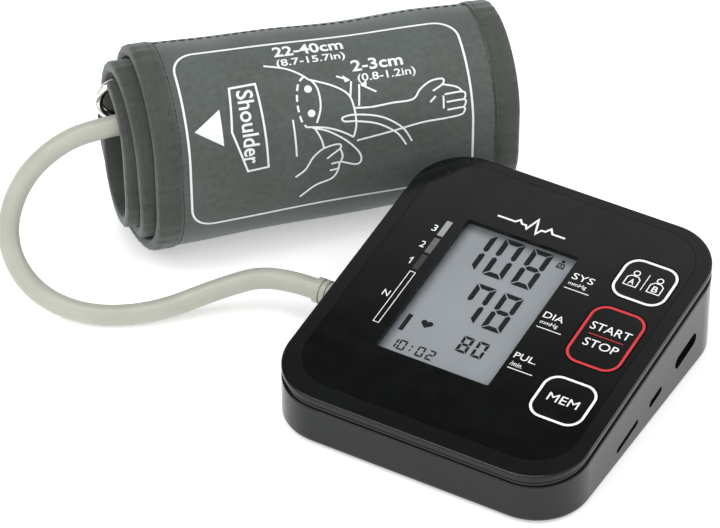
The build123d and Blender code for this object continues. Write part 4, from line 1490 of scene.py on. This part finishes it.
# ---------------------------------------------------------------------------
# Studio
# ---------------------------------------------------------------------------
@dataclass
class Studio:
    """Camera, floor, sky dome and lamps."""

    camera_at: tuple[float, float, float] = (0.57129, -1.02395, 0.95162)
    camera_turn: tuple[float, float, float] = (51.1, 0.0, 29.8)
    lens: float = 200.0
    quiet: tuple[float, float, float] = (-0.378, 0.481, 0.790)
    horizon: tuple[float, float, float] = (0.0, 0.85, -0.50)

    def camera(self) -> None:
        """The view from the front right, above."""
        data = bpy.data.cameras.new("studio_camera")
        data.lens, data.sensor_width, data.clip_end = self.lens, 36.0, 20.0
        eye = bpy.data.objects.new("studio_camera", data)
        eye.location = self.camera_at
        eye.rotation_euler = tuple(math.radians(a) for a in self.camera_turn)
        bpy.context.scene.collection.objects.link(eye)
        bpy.context.scene.camera = eye

    def floor(self) -> None:
        """A wide white table."""
        shader = Shader("table_top").put(Base_Color=(0.93, 0.93, 0.93), Specular_IOR_Level=0.2,
                                         Emission_Color=(1.0, 1.0, 1.0), Emission_Strength=0.36)
        shader.vary(shader.noise(20.0), 0.6, 0.7)
        size = 3.0
        table = new_piece("table_top", [Vector((x, y, 0)) for x, y in
                                        ((-size, -size), (size, -size), (size, size), (-size, size))],
                          [(0, 1, 2, 3)], shader.material, smooth=False)

    def dome(self) -> None:
        """Pale surroundings with a quiet patch that the panel mirrors, fading to light above it."""
        world = bpy.data.worlds.new("studio_dome")
        world.use_nodes = True
        bpy.context.scene.world = world
        nodes, links = world.node_tree.nodes, world.node_tree.links
        nodes.clear()
        place, brighter = nodes.new("ShaderNodeTexCoord"), nodes.new("ShaderNodeMath")
        brighter.operation = "MAXIMUM"
        patch = (math.cos(math.radians(62)), math.cos(math.radians(30)), 1.0, 0.03)
        for number, (axis, limits) in enumerate(((self.quiet, patch), (self.horizon, (-0.004, 0.046, 0.02, 0.9)))):
            dot, span = nodes.new("ShaderNodeVectorMath"), nodes.new("ShaderNodeMapRange")
            dot.operation = "DOT_PRODUCT"
            dot.inputs[1].default_value = axis
            for index, amount in enumerate(limits, 1):
                span.inputs[index].default_value = amount
            links.new(place.outputs["Generated"], dot.inputs[0])
            links.new(dot.outputs["Value"], span.inputs[0])
            links.new(span.outputs[0], brighter.inputs[number])
        glow, out = nodes.new("ShaderNodeBackground"), nodes.new("ShaderNodeOutputWorld")
        glow.inputs["Color"].default_value = (1.0, 1.0, 1.0, 1.0)
        links.new(brighter.outputs[0], glow.inputs["Strength"])
        links.new(glow.outputs[0], out.inputs["Surface"])

    def lamp(self, name: str, at: tuple[float, float, float], size: Flat, power: float) -> None:
        """A soft box that faces the object.

        Args:
            name: the lamp's name.
            at: where it stands, in metres.
            size: its width and height.
            power: in watts.
        """
        data = bpy.data.lights.new(name, "AREA")
        data.shape, data.size, data.size_y, data.energy = "RECTANGLE", *size, power
        lamp = bpy.data.objects.new(name, data)
        lamp.location = at
        lamp.rotation_euler = (Vector((0, 0, 0.04)) - Vector(at)).to_track_quat("-Z", "Y").to_euler()
        bpy.context.scene.collection.objects.link(lamp)

    def build(self) -> None:
        """Set up the floor, the dome and the lamps."""
        self.floor()
        self.dome()
        self.lamp("soft_box_above", (-0.35, -0.25, 1.5), (0.9, 0.9), 9.0)
        self.lamp("soft_box_right", (1.0, 0.8, 1.0), (0.6, 0.9), 5.5)
        self.lamp("soft_box_front", (0.1, -1.5, 0.5), (1.0, 0.4), 1.0)
        self.lamp("strip_front", (-0.55, -0.90, 0.95), (1.2, 0.07), 2.6)
        self.lamp("strip_right", (0.95, 1.00, 0.55), (0.9, 0.07), 1.8)
        bpy.context.scene.view_settings.view_transform = "Standard"


def main() -> None:
    """Build the whole object in order."""
    logging.basicConfig(level=logging.INFO, format="%(name)s %(message)s")
    studio = Studio()
    studio.camera()
    wardrobe = Wardrobe()
    Hose(wardrobe).build()
    Cuff(wardrobe, StitchTree()).build()
    Monitor(wardrobe).build()
    studio.build()


if __name__ == "__main__":
    main()
